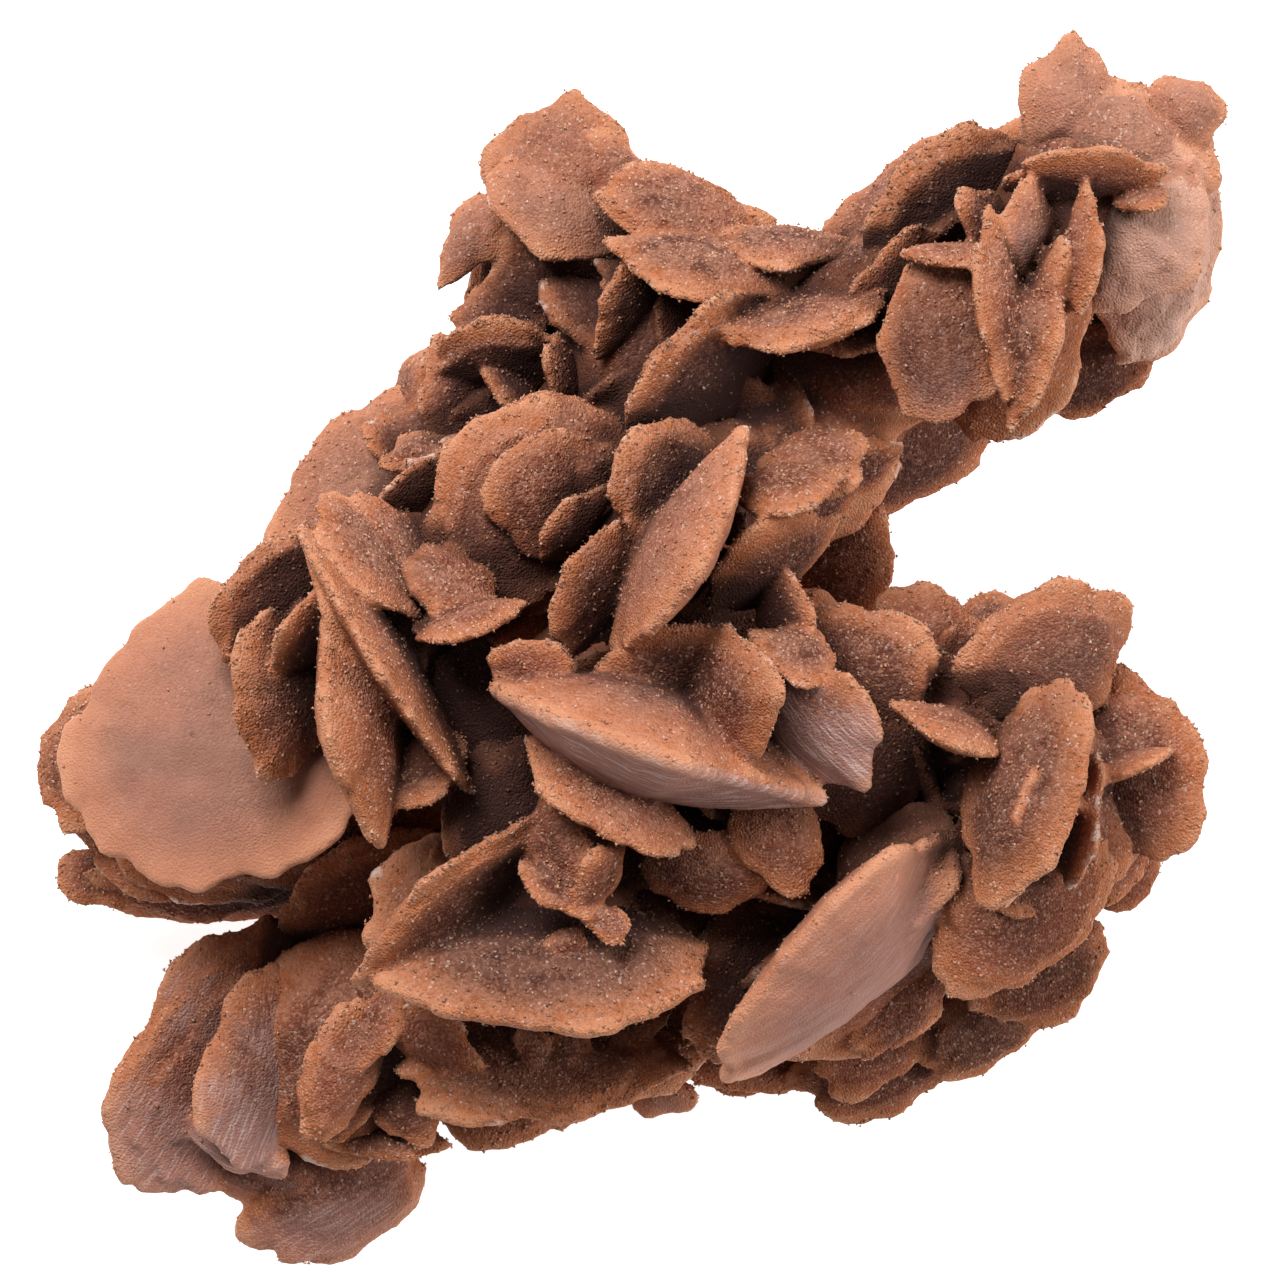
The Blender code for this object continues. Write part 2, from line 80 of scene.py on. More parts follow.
# No lobe is deeper than this share of the radius.
DEEPEST_LOBE = 0.08
# A rim is blunt: this share of the middle's half thickness, and never under the least, in mm.
RIM_SHARE = 0.22
LEAST_RIM = 0.30


def rim_half(blade):
    return min(blade.half, max(LEAST_RIM, RIM_SHARE * blade.half))


def swell(blade, angles):
    """The rim's distance from the middle at these angles, as a share of the plain outline's."""
    waves = random.Random(blade.name)
    size = np.ones_like(angles)
    for count, depth in zip(WAVES, WAVE_DEPTHS):
        size += depth * np.cos(count * angles + waves.uniform(0.0, math.tau))
    girth = math.pi * (blade.long + blade.wide)
    for length, depth in LOBES:
        count = max(3, round(girth / length))
        reach = depth * waves.uniform(0.6, 1.4) / blade.wide
        size += min(reach, DEEPEST_LOBE) * np.cos(count * angles + waves.uniform(0.0, math.tau))
    return size


def outline(blade, angles):
    """Points of the rim along the blade's long and wide axes, in mm."""
    size = swell(blade, angles)
    sine = np.sin(angles)
    across = blade.wide * size * sine * np.abs(sine) ** blade.point
    return blade.long * size * np.cos(angles), across


def dome(blade, share):
    """Half of the blade's thickness at this share of the way to its rim."""
    rim = rim_half(blade)
    return rim + (blade.half - rim) * (1.0 - share**2)


def axes(blade):
    """The blade's long, wide and facing directions, as rows."""
    turned = Matrix.Rotation(math.radians(blade.turn), 3, "Z")
    leaned = Matrix.Rotation(math.radians(-blade.lean), 3, "X")
    return np.array((turned @ leaned).transposed())


def middle(blade):
    return np.array(blade.at) - np.array(TABLE_POINT)


# How a lens is drawn: its rings from the middle to the rim, the turns round the rim's edge, and how far
# apart its points lie along the rim, in mm. The smallest lens has this many points round it.
RINGS = 9
RIM_TURNS = 4
SPACING = 0.45
LEAST_SIDES = 28


def lens(blade, height=0.0, shift=(0.0, 0.0)):
    """A smooth lens with a round blunt rim: its points in mm and its quads."""
    sides = max(LEAST_SIDES, int(math.pi * (blade.long + blade.wide) / SPACING))
    angles = np.linspace(0.0, math.tau, sides, endpoint=False)
    x, y = outline(blade, angles)
    rim = rim_half(blade)
    inset = 1.0 - rim / blade.wide
    section = [(inset * ring / RINGS, dome(blade, ring / RINGS)) for ring in range(1, RINGS)]
    for turn in range(RIM_TURNS + 1):
        bend = 0.5 * math.pi * turn / RIM_TURNS
        section.append((inset + (1.0 - inset) * math.sin(bend), rim * math.cos(bend)))
    section += [(share, -thick) for share, thick in section[-2::-1]]
    rows = [np.column_stack((x * share, y * share, np.full(sides, thick))) for share, thick in section]
    points = np.vstack(rows + [[(0.0, 0.0, blade.half)], [(0.0, 0.0, -blade.half)]])
    points += (shift[0], shift[1], height)
    faces = []
    for row in range(len(section) - 1):
        for side in range(sides):
            after = (side + 1) % sides
            low, high = row * sides, (row + 1) * sides
            faces.append((low + side, high + side, high + after, low + after))
    top, bottom = len(points) - 2, len(points) - 1
    last = (len(section) - 1) * sides
    for side in range(sides):
        after = (side + 1) % sides
        faces.append((top, side, after))
        faces.append((bottom, last + after, last + side))
    return middle(blade) + points @ axes(blade), faces


# How finely the fused crystals are drawn, in mm.
GRIT = 0.23
# A growth step is a thin leaf on a blade's face: half of its thickness in mm, and the share that its
# outline is drawn in by for each step.
STEP_HALF = 0.42
STEP_DRAW = 0.19
# It slips sideways by up to this share of that. Blades shorter than this, in mm, have no steps.
STEP_SLIP = 0.3
STEP_LEAST = 3.4


def leaves(blade):
    """The blade and the thin leaves that stepped its faces as it grew."""
    growth = random.Random("leaves of " + blade.name)
    shapes = [lens(blade)]
    for number in range(blade.steps if blade.long > STEP_LEAST else 0):
        for side in (-1, 1):
            share = 1.0 - STEP_DRAW * (number + growth.uniform(0.6, 1.3))
            slip = STEP_SLIP * (1.0 - share)
            shift = (
                slip * blade.long * growth.uniform(-1, 1),
                slip * blade.wide * growth.uniform(-1, 1),
            )
            leaf = blade._replace(
                name=f"{blade.name} leaf {number}",
                long=blade.long * share,
                wide=blade.wide * share,
                half=STEP_HALF,
            )
            shapes.append(lens(leaf, side * dome(blade, share), shift))
    return shapes


def fused(name, shapes, grit):
    """One closed mesh round all these shapes, still in mm."""
    points, faces, count = [], [], 0
    for shape_points, shape_faces in shapes:
        points.append(shape_points)
        faces += [tuple(corner + count for corner in face) for face in shape_faces]
        count += len(shape_points)
    rough = bpy.data.meshes.new(name + " rough")
    rough.from_pydata(np.vstack(points).tolist(), [], faces)
    piece = bpy.data.objects.new(name, rough)
    bpy.context.scene.collection.objects.link(piece)
    remesh = piece.modifiers.new("grown together", "REMESH")
    remesh.mode = "VOXEL"
    remesh.voxel_size = grit
    remesh.use_smooth_shade = True
    graph = bpy.context.evaluated_depsgraph_get()
    mesh = bpy.data.meshes.new_from_object(piece.evaluated_get(graph))
    piece.modifiers.clear()
    piece.data = mesh
    bpy.data.meshes.remove(rough)
    mesh.name = name
    return piece


def points_of(mesh):
    flat = np.empty(len(mesh.vertices) * 3, np.float32)
    mesh.vertices.foreach_get("co", flat)
    return flat.reshape(-1, 3).astype(float)


def put_points(mesh, points):
    mesh.vertices.foreach_set("co", points.astype(np.float32).ravel())
    mesh.update()


def normals_of(mesh):
    flat = np.empty(len(mesh.vertices) * 3, np.float32)
    mesh.vertex_normals.foreach_get("vector", flat)
    return flat.reshape(-1, 3).astype(float)


def relaxed(mesh, values, times):
    """These values at the mesh's points, each averaged with its neighbours this many times."""
    ends = np.empty(len(mesh.edges) * 2, np.int32)
    mesh.edges.foreach_get("vertices", ends)
    start, end = ends.reshape(-1, 2).T
    both, other = np.concatenate((start, end)), np.concatenate((end, start))
    total = len(values)
    share = np.bincount(both, minlength=total).clip(1)
    values = values.copy()
    for _ in range(times):
        for column in values.T if values.ndim > 1 else (values,):
            column[:] = 0.5 * column + 0.5 * np.bincount(both, column[other], total) / share
    return values


def lumps(points, size, seed):
    """Smooth noise from -1 to 1 at these points, with lumps about this many mm across."""
    shifted = points / size + seed
    return np.array([noise.noise(Vector(point)) for point in shifted]) * 1.6


def ramp(low, high, values):
    """0 below low, 1 above high and a smooth rise between them."""
    share = np.clip((values - low) / (high - low), 0.0, 1.0)
    return share * share * (3.0 - 2.0 * share)


def owners(blades, points):
    """Which blade's surface each point lies nearest to, and its place on it.

    The place is a column for the share of the way to the rim, and two for mm along and across.
    """
    nearest = np.full(len(points), np.inf)
    owner = np.zeros(len(points), int)
    place = np.zeros((len(points), 3))
    for number, blade in enumerate(blades):
        along, across, up = ((points - middle(blade)) @ axes(blade).T).T
        share = np.sqrt(
            (along / blade.long) ** 2
            + (np.abs(across) / blade.wide) ** (2.0 / (1.0 + blade.point))
        )
        over = np.abs(up) - dome(blade, np.minimum(share, 1.0))
        beyond = np.maximum(share - 1.0, 0.0) * blade.wide
        gap = np.hypot(beyond, np.maximum(over, 0.0)) + np.abs(np.minimum(over, 0.0)) * (beyond == 0)
        closer = gap < nearest
        owner[closer] = number
        nearest[closer] = gap[closer]
        place[closer] = np.column_stack((share, along, across))[closer]
    return owner, place


def keep(mesh, name, values):
    attribute = mesh.attributes.new(name, "FLOAT", "POINT")
    attribute.data.foreach_set("value", values.astype(np.float32))


# How wide the surface's lumps are, in mm: broad patches, coarse and fine lumps, and grit.
PATCHES, COARSE, FINE, GRITTY = 6.0, 2.6, 1.05, 0.52
# How far the coarse lumps, a filled crease and a bleached block's lumps rise, in mm.
COARSE_RISE, CREASE_RISE, BLOCK_RISE = 0.05, 0.05, 0.26
# How many times the surface is evened out to find its broad form, how far in mm a rim stands out of
# that form or a crease lies below it, and how much of the way to it a crease is filled.
BROAD_TIMES = 14
EDGE_FORM, CREASE_FORM = (0.03, 0.22), (0.03, 0.20)
CREASE_FILL = 0.10


def weathered(piece, blades, seed):
    """Rounds the fused crystals, fills their creases, crumbles the rims and lays the sandy coat."""
    mesh = piece.data
    plain = relaxed(mesh, points_of(mesh), 1)
    put_points(mesh, plain)
    facing = normals_of(mesh)
    broad = relaxed(mesh, plain, BROAD_TIMES)
    form = relaxed(mesh, np.einsum("ij,ij->i", plain - broad, facing), 2)
    edge, crease = ramp(*EDGE_FORM, form), ramp(*CREASE_FORM, -form)
    owner, place = owners(blades, plain)
    bare = np.array([blade.bare for blade in blades])[owner]
    pale = np.array([blade.pale for blade in blades])[owner]
    tones = random.Random(seed)
    tone = np.array([tones.uniform(-1.0, 1.0) for blade in blades])[owner]
    coarse = lumps(plain, COARSE, seed)
    fine = lumps(plain, FINE, seed + 31.0)
    grit = lumps(plain, GRITTY, seed + 57.0)
    patch = lumps(plain, PATCHES, seed + 83.0)
    # Faces turned to -Y are left barer, so they take more of the lilac, which is partly painted cool
    # light.
    under = ramp(-0.20, 0.38, -facing[:, 1] + 0.25 * patch)
    bare = relaxed(mesh, np.clip(bare * (0.35 + 0.65 * under) * (1.0 - crease), 0.0, 1.0), 3)
    sandy = 1.0 - bare
    rise = COARSE_RISE * coarse + (0.01 + 0.02 * sandy) * fine + (0.01 + 0.025 * sandy) * grit
    rise += CREASE_RISE * crease + edge * (0.07 * grit - 0.05 * np.maximum(fine, 0.0))
    rise += BLOCK_RISE * np.maximum(pale, 0.0) ** 2 * (coarse + 0.3 * fine)
    settled = plain + (broad - plain) * (CREASE_FILL * crease)[:, None]
    put_points(mesh, (settled + facing * rise[:, None]) * MM)
    keep(mesh, "edge", edge)
    keep(mesh, "crease", crease)
    keep(mesh, "bare", bare)
    keep(mesh, "pale", relaxed(mesh, pale, 4))
    keep(mesh, "tone", relaxed(mesh, tone, 2))
    keep(mesh, "rim", relaxed(mesh, place[:, 0].clip(0.0, 1.1), 2))
    keep(mesh, "along", place[:, 1])
    keep(mesh, "across", place[:, 2])
    settled_sand = ramp(0.05, 0.85, 0.62 * facing[:, 1] + 0.62 * facing[:, 2] + 0.2 * patch)
    keep(mesh, "dust", settled_sand * (1.0 - bare))


# The share of its faces that a piece keeps.
KEPT_FACES = 0.55


def without_flakes(mesh):
    """Drops pairs of faces that lie back to back on the same corners, apart from the surface."""
    work = bmesh.new()
    work.from_mesh(mesh)
    pairs = {}
    for face in work.faces:
        pairs.setdefault(frozenset(face.verts), []).append(face)
    flakes = [face for pair in pairs.values() if len(pair) > 1 for face in pair]
    bmesh.ops.delete(work, geom=flakes, context="FACES")
    work.to_mesh(mesh)
    work.free()


def thinned(piece, share):
    """Leaves this share of the faces, the fewest where the surface is flat."""
    fewer = piece.modifiers.new("fewer faces", "DECIMATE")
    fewer.ratio = share
    graph = bpy.context.evaluated_depsgraph_get()
    mesh = bpy.data.meshes.new_from_object(piece.evaluated_get(graph))
    piece.modifiers.clear()
    thick = piece.data
    piece.data = mesh
    bpy.data.meshes.remove(thick)
    mesh.name = piece.name
    without_flakes(mesh)
    mesh.shade_smooth()


class Shade:
    """An output of a node in a material. Arithmetic on it adds Math nodes."""

    def __init__(self, tree, output):
        self.tree, self.output = tree, output

    def math(self, operation, first, second):
        return node(self.tree, "ShaderNodeMath", {"operation": operation}, {0: first, 1: second})

    def __add__(self, other):
        return self.math("ADD", self, other)

    __radd__ = __add__

    def __mul__(self, other):
        return self.math("MULTIPLY", self, other)

    __rmul__ = __mul__

    def __sub__(self, other):
        return self.math("SUBTRACT", self, other)

    def __rsub__(self, other):
        return self.math("SUBTRACT", other, self)

    def above(self, low):
        """The output itself, but never under low."""
        return self.math("MAXIMUM", self, low)

    def between(self, low, high):
        """0 below low, 1 above high and a smooth rise between them."""
        settings = {"interpolation_type": "SMOOTHSTEP"}
        return node(self.tree, "ShaderNodeMapRange", settings, {"Value": self, 1: low, 2: high})

    def beside(self, out):
        """Another output of the same node."""
        return Shade(self.tree, self.output.node.outputs[out])


def node(tree, kind, settings=None, sockets=None, out=0):
    """A node with its settings made first, then the values or links of its sockets."""
    made = tree.nodes.new(kind)
    for name, value in (settings or {}).items():
        setattr(made, name, value)
    for name, value in (sockets or {}).items():
        if isinstance(value, Shade):
            tree.links.new(value.output, made.inputs[name])
        else:
            made.inputs[name].default_value = value
    return Shade(tree, made.outputs[out])


def blend(amount, first, second):
    """The first colour where amount is 0 and the second where it is 1."""
    sockets = {0: amount, 6: first, 7: second}
    return node(amount.tree, "ShaderNodeMix", {"data_type": "RGBA"}, sockets, out=2)


def colour(red, green, blue):
    return (red, green, blue, 1.0)


# The sand from dark to light, the painted light that shines through the rims, the clean faces with
# their painted cool light and the bleached faces, and the painted shade of shaded blades and gaps.
UMBER = colour(0.080, 0.022, 0.012)
SIENNA = colour(0.215, 0.059, 0.030)
GLOW_AMBER = colour(0.440, 0.138, 0.048)
BEIGE = colour(0.410, 0.190, 0.120)
TAN = colour(0.600, 0.280, 0.155)
QUARTZ = colour(0.84, 0.70, 0.62)
LILAC_COOL_LIGHT = colour(0.37, 0.198, 0.174)
PINK = colour(0.590, 0.298, 0.202)
RUST = colour(0.27, 0.070, 0.026)
SHADED_BROWN = colour(0.060, 0.019, 0.013)
SHADE = colour(0.032, 0.011, 0.008)
# How many grains the surface shows to the metre, and how deep the pits between them are, in m.
GRAINS_PER_M = 5600.0
PIT_DEPTH = 0.00013


def mask(tree, name):
    """What was kept on the mesh's points under this name."""
    return node(tree, "ShaderNodeAttribute", {"attribute_name": name}, out=2)


def sandy_gypsum():
    """Gypsum full of desert sand: tan to umber grains, lilac bare faces partly painted with cool light,
    amber rims painted as lit through, painted shade in the gaps, and pale scuffs.
    """
    material = bpy.data.materials.new("sandy gypsum")
    material.use_nodes = True
    tree = material.node_tree
    shader = tree.nodes["Principled BSDF"]
    place = node(tree, "ShaderNodeTexCoord", out=3)

    def cloud(per_m, detail=1.5):
        sockets = {"Vector": place, "Scale": per_m, "Detail": detail}
        return node(tree, "ShaderNodeTexNoise", None, sockets)

    edge, crease, bare, pale = [mask(tree, name) for name in ("edge", "crease", "bare", "pale")]
    tone, rim, deep, dust = [mask(tree, name) for name in ("tone", "rim", "deep", "dust")]
    along, across = mask(tree, "along"), mask(tree, "across")
    grain = node(tree, "ShaderNodeTexVoronoi", None, {"Vector": place, "Scale": GRAINS_PER_M})
    speck = node(tree, "ShaderNodeSeparateColor", None, {0: grain.beside(1)})
    glint = speck.beside(1)
    # Patches, small drifts and wide stains, by how many to the metre.
    patch, drift, stain = cloud(200.0), cloud(700.0), cloud(95.0, 1.0)
    # Fibres run the length of a blade: many to the mm across it, and few along it.
    fibre = node(tree, "ShaderNodeCombineXYZ", None, {0: across * 5.0, 1: along * 0.35})
    sockets = {"Vector": fibre, "Scale": 1.0, "Detail": 1.0}
    streak = node(tree, "ShaderNodeTexNoise", {"noise_dimensions": "2D"}, sockets)
    sandy = 1.0 - bare
    lit = pale.above(0.0)
    # Painted shade: darker where the crystals crowd together.
    gap_shade = deep.between(0.36, 0.66)

    # The ground: patchy, lighter towards the rims and darker in crowded gaps as painted light and shade,
    # darker still on the shaded blades as painted shade, and amber painted light through the thin rims.
    patchy_light_and_shade = (patch + 0.10 * tone + 0.35 * rim - 0.25 * gap_shade).between(0.42, 0.92)
    ground = blend(patchy_light_and_shade, UMBER, SIENNA)
    # Painted light: an amber glow where light would shine through the thin rims.
    glow = rim.between(0.55, 0.98) * (1.0 - 0.6 * gap_shade)
    # Painted shade: blades whose pale is below 0 are darkened.
    blade_shade = lit - pale
    ground = blend(blade_shade, ground, SHADED_BROWN)
    ground = blend(glow * 0.9, ground, GLOW_AMBER)
    ground = blend(stain.between(0.60, 0.72) * 0.5, ground, RUST)
    # Settled dust, bleached blocks, and the lilac fibres of clean faces, which is partly painted cool
    # light on the faces turned to -Y.
    ground = blend(dust * drift.between(0.30, 0.62) * 0.42 * (1.0 - gap_shade), ground, BEIGE)
    ground = blend(lit * 0.80, ground, PINK)
    ground = blend(lit.between(0.45, 1.10) * 0.42, ground, QUARTZ)
    ground = blend(lit * drift.between(0.50, 0.74) * 0.45, ground, SIENNA)
    # Painted cool light: lilac on the clean faces, most on those turned to -Y.
    clean_and_cool_side = bare.between(0.20, 0.80)
    ground = blend(clean_and_cool_side * (0.60 + 0.30 * streak) * (1.0 - 2.2 * lit), ground, LILAC_COOL_LIGHT)
    ground = blend(clean_and_cool_side * streak.between(0.46, 0.74) * 0.30 * (1.0 - 2.4 * lit), ground, QUARTZ)
    # Single grains, light and dark.
    light_grain = speck.between(0.45, 0.95) * (0.14 + 0.40 * sandy) * (1.0 - 0.6 * gap_shade)
    ground = blend(light_grain, ground, BEIGE)
    dark_grain = (1.0 - speck).between(0.50, 0.98) * (0.08 + 0.18 * sandy) * (1.0 - 0.8 * lit)
    ground = blend(dark_grain, ground, UMBER)
    # Thin rims painted paler as if lit through, painted shade in the creases, in the crowded gaps and on
    # the shaded blades, quartz glints and the pale scuffs on the edges.
    thin = rim.between(0.90, 1.04) * (1.0 - 0.8 * gap_shade)
    ground = blend(thin * 0.45, ground, TAN)
    ground = blend(crease * 0.5 + 0.74 * gap_shade + 0.45 * blade_shade * (1.0 - glow), ground, SHADE)
    spark = glint.between(0.965, 0.99) * 0.26 * (1.0 - 0.8 * clean_and_cool_side) * (1.0 - gap_shade)
    ground = blend(spark, ground, QUARTZ)
    worn = 0.50 * drift.between(0.52, 0.66) + 0.45 * lit
    ground = blend(edge.between(0.5, 0.95) * worn * (1.0 - gap_shade), ground, QUARTZ)
    tree.links.new(ground.output, shader.inputs["Base Color"])

    rough = 0.60 + 0.22 * sandy + 0.12 * drift
    tree.links.new(rough.output, shader.inputs["Roughness"])
    strength = (0.45 + 0.55 * sandy) * (1.0 - 0.2 * lit)
    sockets = {"Strength": strength, "Distance": -PIT_DEPTH, "Height": grain}
    bump = node(tree, "ShaderNodeBump", None, sockets)
    tree.links.new(bump.output, shader.inputs["Normal"])
    shader.inputs["Specular IOR Level"].default_value = 0.22
    return material


SANDY = sandy_gypsum()


def grown(name, blades, seed, grit=GRIT, share=KEPT_FACES):
    """The piece that these blades make, in sandy gypsum."""
    piece = fused(name, [shape for blade in blades for shape in leaves(blade)], grit)
    weathered(piece, blades, seed)
    thinned(piece, share)
    piece.data.materials.append(SANDY)
    return piece


HEART = [
    Blade("shelf", (0.6, -6.9, 41.3), 12.0, 8.0, 3.9, -19, 84, 0.6, bare=0.9, pale=-0.1),
    Blade("shelf apron", (-2.3, -10.6, 40.5), 6.8, 5.0, 1.5, -35, 55, 0.3),
    Blade("shelf fin", (6.4, -4.2, 43.5), 5.2, 6.0, 1.6, -84, -58, 0.5),
    Blade("shelf back", (2.4, -2.0, 41.0), 5.4, 4.0, 1.3, 8, -40, pale=-0.4),
    Blade("shelf tip", (-7.6, -1.9, 41.5), 3.0, 2.4, 0.9, -5, -30),
    Blade("beaded blade", (12.1, -5.5, 42.0), 5.6, 4.8, 1.6, -50, -35, bare=0.8),
    Blade("beaded roof", (10.8, -1.0, 43.0), 3.2, 3.0, 1.0, -25, 50),
    Blade("short post", (10.1, 1.8, 40.0), 3.2, 3.0, 0.9, -75, -50),
    Blade("right shoulder", (15.5, -2.1, 36.0), 5.6, 4.9, 1.5, -30, -15, steps=1),
    Blade("right elbow", (15.8, -9.3, 35.0), 5.2, 4.3, 1.4, 40, -25, pale=-0.3),
    Blade("spur", (21.7, -6.2, 40.0), 4.3, 4.2, 1.3, -22, 75, 0.6),
    Blade("heart lower", (4.6, -16.0, 37.0), 4.7, 3.3, 1.2, -5, -20, pale=-0.3),
    Blade("heart drop", (9.5, -13.6, 38.0), 4.5, 3.3, 1.2, -60, 10, 0.4, pale=-0.2),
    Blade("heart left", (-11.2, -4.2, 34.0), 4.8, 4.2, 1.3, -70, -20, pale=-0.5),
    Blade("heart plate", (-9.5, -11.9, 35.0), 5.4, 4.2, 1.3, 60, -10, steps=1, pale=-0.4),
    Blade("heart lobe", (-8.4, -9.1, 35.7), 2.8, 2.0, 0.9, 70, -20),
]

CREST = [
    Blade("tall fin", (2.9, 6.6, 43.0), 8.5, 6.5, 2.3, 60, 72, 0.55, bare=0.35, pale=0.12),
    Blade("crest right", (10.2, 10.5, 41.0), 3.9, 4.4, 1.3, 12, 65, 0.5),
    Blade("crest back", (12.3, 12.3, 37.0), 3.8, 4.0, 1.2, 15, 50),
    Blade("crest lower", (9.0, 5.6, 40.0), 5.6, 4.6, 1.4, 36, -58, 0.5, pale=-0.4),
    Blade("crest wall", (1.8, 10.5, 38.0), 5.2, 5.2, 1.4, 80, -40, steps=1, pale=-0.6),
    Blade("crest left", (-2.6, 3.6, 40.0), 5.3, 4.6, 1.2, 62, -50, pale=-0.5),
    Blade("dome", (-8.4, 9.0, 33.5), 8.0, 7.0, 2.4, 60, -20, 0.0, steps=1, pale=0.05),
    Blade("dome scale", (-6.7, 10.3, 36.0), 4.6, 4.2, 1.1, 60, -20, 0.0),
    Blade("dome crown", (-5.6, 14.5, 34.0), 4.6, 3.0, 1.1, -10, 10),
    Blade("dome rib", (-4.6, 8.1, 37.0), 3.4, 2.4, 0.9, 45, -50),
    Blade("dome button", (-3.5, 12.3, 35.4), 2.6, 2.0, 1.2, 0, 10),
    Blade("dome sill", (-12.1, 1.4, 40.0), 4.1, 3.6, 1.0, 15, 70, 0.4),
    Blade("dome step", (-13.3, 3.9, 38.0), 3.8, 3.2, 1.0, -25, 40),
]

heart_and_crest = grown("heart_and_crest", HEART + CREST, 3.0)
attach(heart_and_crest, "root")
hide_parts("sand_rose")


# The fan stands on the great blade at the rose's left: thin almond crystals that spring from one root,
# with a broad disc below them and small ragged crystals behind. The same sandy gypsum, grown together.
FAN = [
    Blade("fan spine", (-17.9, -0.7, 38.5), 11.4, 7.2, 1.5, -58, 83, 0.4),
    Blade("fan splint", (-16.2, -2.4, 37.6), 9.2, 5.6, 0.9, -63, 80, 0.4),
    Blade("fan sliver", (-20.4, 1.6, 38.6), 7.0, 4.6, 0.8, -66, 76, 0.4),
    Blade("fan upper", (-18.9, 5.8, 38.5), 5.6, 4.2, 1.3, -48, 60, 0.4),
    Blade("fan outer", (-16.5, 6.0, 36.5), 5.0, 3.2, 1.1, -50, 50),
    Blade("fan lens", (-19.5, -5.2, 39.5), 8.9, 6.2, 2.5, -81, 68, 0.45),
    Blade("fan left", (-25.0, -3.5, 37.0), 6.4, 4.8, 1.7, 85, -45, 0.3),
    Blade("fan rib", (-23.0, 0.7, 39.0), 4.2, 3.8, 1.1, 55, -65, 0.3),
    Blade("fan back", (-25.7, 2.6, 34.5), 5.6, 4.2, 1.4, 50, -30, steps=1),
    Blade("fan knob", (-23.9, 5.6, 31.8), 2.8, 2.4, 1.9, 0, 10),
    Blade("fan foot", (-15.3, -8.8, 37.5), 3.8, 3.2, 1.1, 35, 35, 0.4),
    Blade("great blade", (-29.6, -7.0, 30.5), 11.6, 10.3, 2.2, 45, 14, 0.0, bare=1.8, pale=0.4),
]

LEFT_BACK = [
    Blade("far left", (-39.0, -8.4, 20.0), 5.2, 4.4, 1.3, 60, 20, steps=1),
    Blade("far left hook", (-38.6, -13.2, 17.0), 3.2, 2.2, 0.9, -20, -30),
    Blade("far left lobe", (-38.3, -16.9, 14.0), 3.7, 2.8, 1.1, 0, 10),
    Blade("far left strip", (-30.8, -17.3, 15.0), 8.4, 3.8, 1.2, 3, -35, steps=1),
    Blade("far left sill", (-34.5, -15.8, 17.0), 5.4, 3.0, 1.0, -12, 20),
    Blade("left web", (-18.9, -17.5, 22.0), 7.2, 5.4, 1.5, 20, -50, steps=1, pale=-0.6),
    Blade("left web lower", (-20.7, -20.0, 18.0), 5.6, 3.4, 1.2, 20, -20, pale=-0.6),
    Blade("left rear", (-18.6, 10.5, 24.0), 8.8, 6.8, 1.6, 50, 25, 0.0, bare=0.6, pale=0.3, steps=1),
    Blade("left rear lobe", (-15.6, 13.2, 29.0), 2.8, 1.8, 0.9, 10, 40),
    Blade("left rear scoop", (-15.4, 10.6, 29.5), 3.6, 2.8, 0.9, 45, -50),
    Blade("left rear bud", (-15.4, 7.0, 30.8), 2.4, 2.0, 0.9, -40, 0),
]

fan_and_left_back = grown("fan_and_left_back", FAN + LEFT_BACK, 11.0)
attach(fan_and_left_back, "root")
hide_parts("sand_rose")


# The upper left arm is a peak of rough lenses, and a bridge of long flat crystals joins it to the right
# arm. They grew across one another at low angles, so their thin rims lie in steps.
UPPER_LEFT_ARM = [
    Blade("arm brow", (-10.2, 20.1, 26.5), 5.0, 3.8, 1.4, 3, -50, 0.1, steps=1, pale=-0.5),
    Blade("arm cap", (-10.2, 22.9, 23.5), 3.4, 2.4, 1.1, 0, 20),
    Blade("arm side", (-13.2, 16.8, 25.5), 4.7, 2.8, 1.2, -80, 30),
    Blade("arm post", (-5.6, 18.9, 28.5), 2.9, 2.4, 0.9, -80, 65, 0.4),
    Blade("arm splint", (-9.1, 17.5, 27.4), 2.8, 2.6, 0.9, -42, 65, 0.4),
    Blade("peak", (-5.6, 32.8, 24.0), 6.2, 5.2, 2.8, 84, 8, 0.12, bare=0.4, pale=0.12),
    Blade("peak wing", (-11.8, 28.7, 23.0), 4.0, 2.3, 1.4, 56, 25, 0.5, bare=0.4, pale=0.25),
    Blade("peak brow", (-5.8, 30.7, 26.0), 5.6, 4.2, 1.9, -22, 32, 0.2, bare=0.3, pale=0.3),
    Blade("peak chin", (-7.0, 25.4, 23.2), 4.6, 3.7, 1.5, 0, -12, 0.0, bare=0.3),
    Blade("peak jaw", (-9.9, 25.4, 21.0), 3.2, 1.8, 1.1, -70, 20),
    Blade("peak shoulder", (-0.9, 32.4, 25.5), 4.2, 2.6, 1.3, -45, 20),
    Blade("slab upper", (2.8, 30.0, 29.5), 6.0, 3.8, 1.7, -20, 35, 0.2, steps=1),
    Blade("slab lower", (4.2, 26.3, 33.5), 6.6, 4.0, 1.4, -12, 52, 0.4),
    Blade("slab thin", (10.2, 27.6, 32.5), 5.0, 3.2, 1.0, -3, 60, 0.3),
    Blade("slab thinner", (9.5, 26.5, 31.5), 4.0, 2.8, 0.8, -2, 65, 0.3),
    Blade("scoop", (-0.4, 23.8, 30.5), 4.3, 3.8, 1.1, 60, -55, pale=-0.6),
    Blade("pink lobe", (0.7, 20.7, 29.5), 4.2, 3.4, 1.2, 50, -5),
]

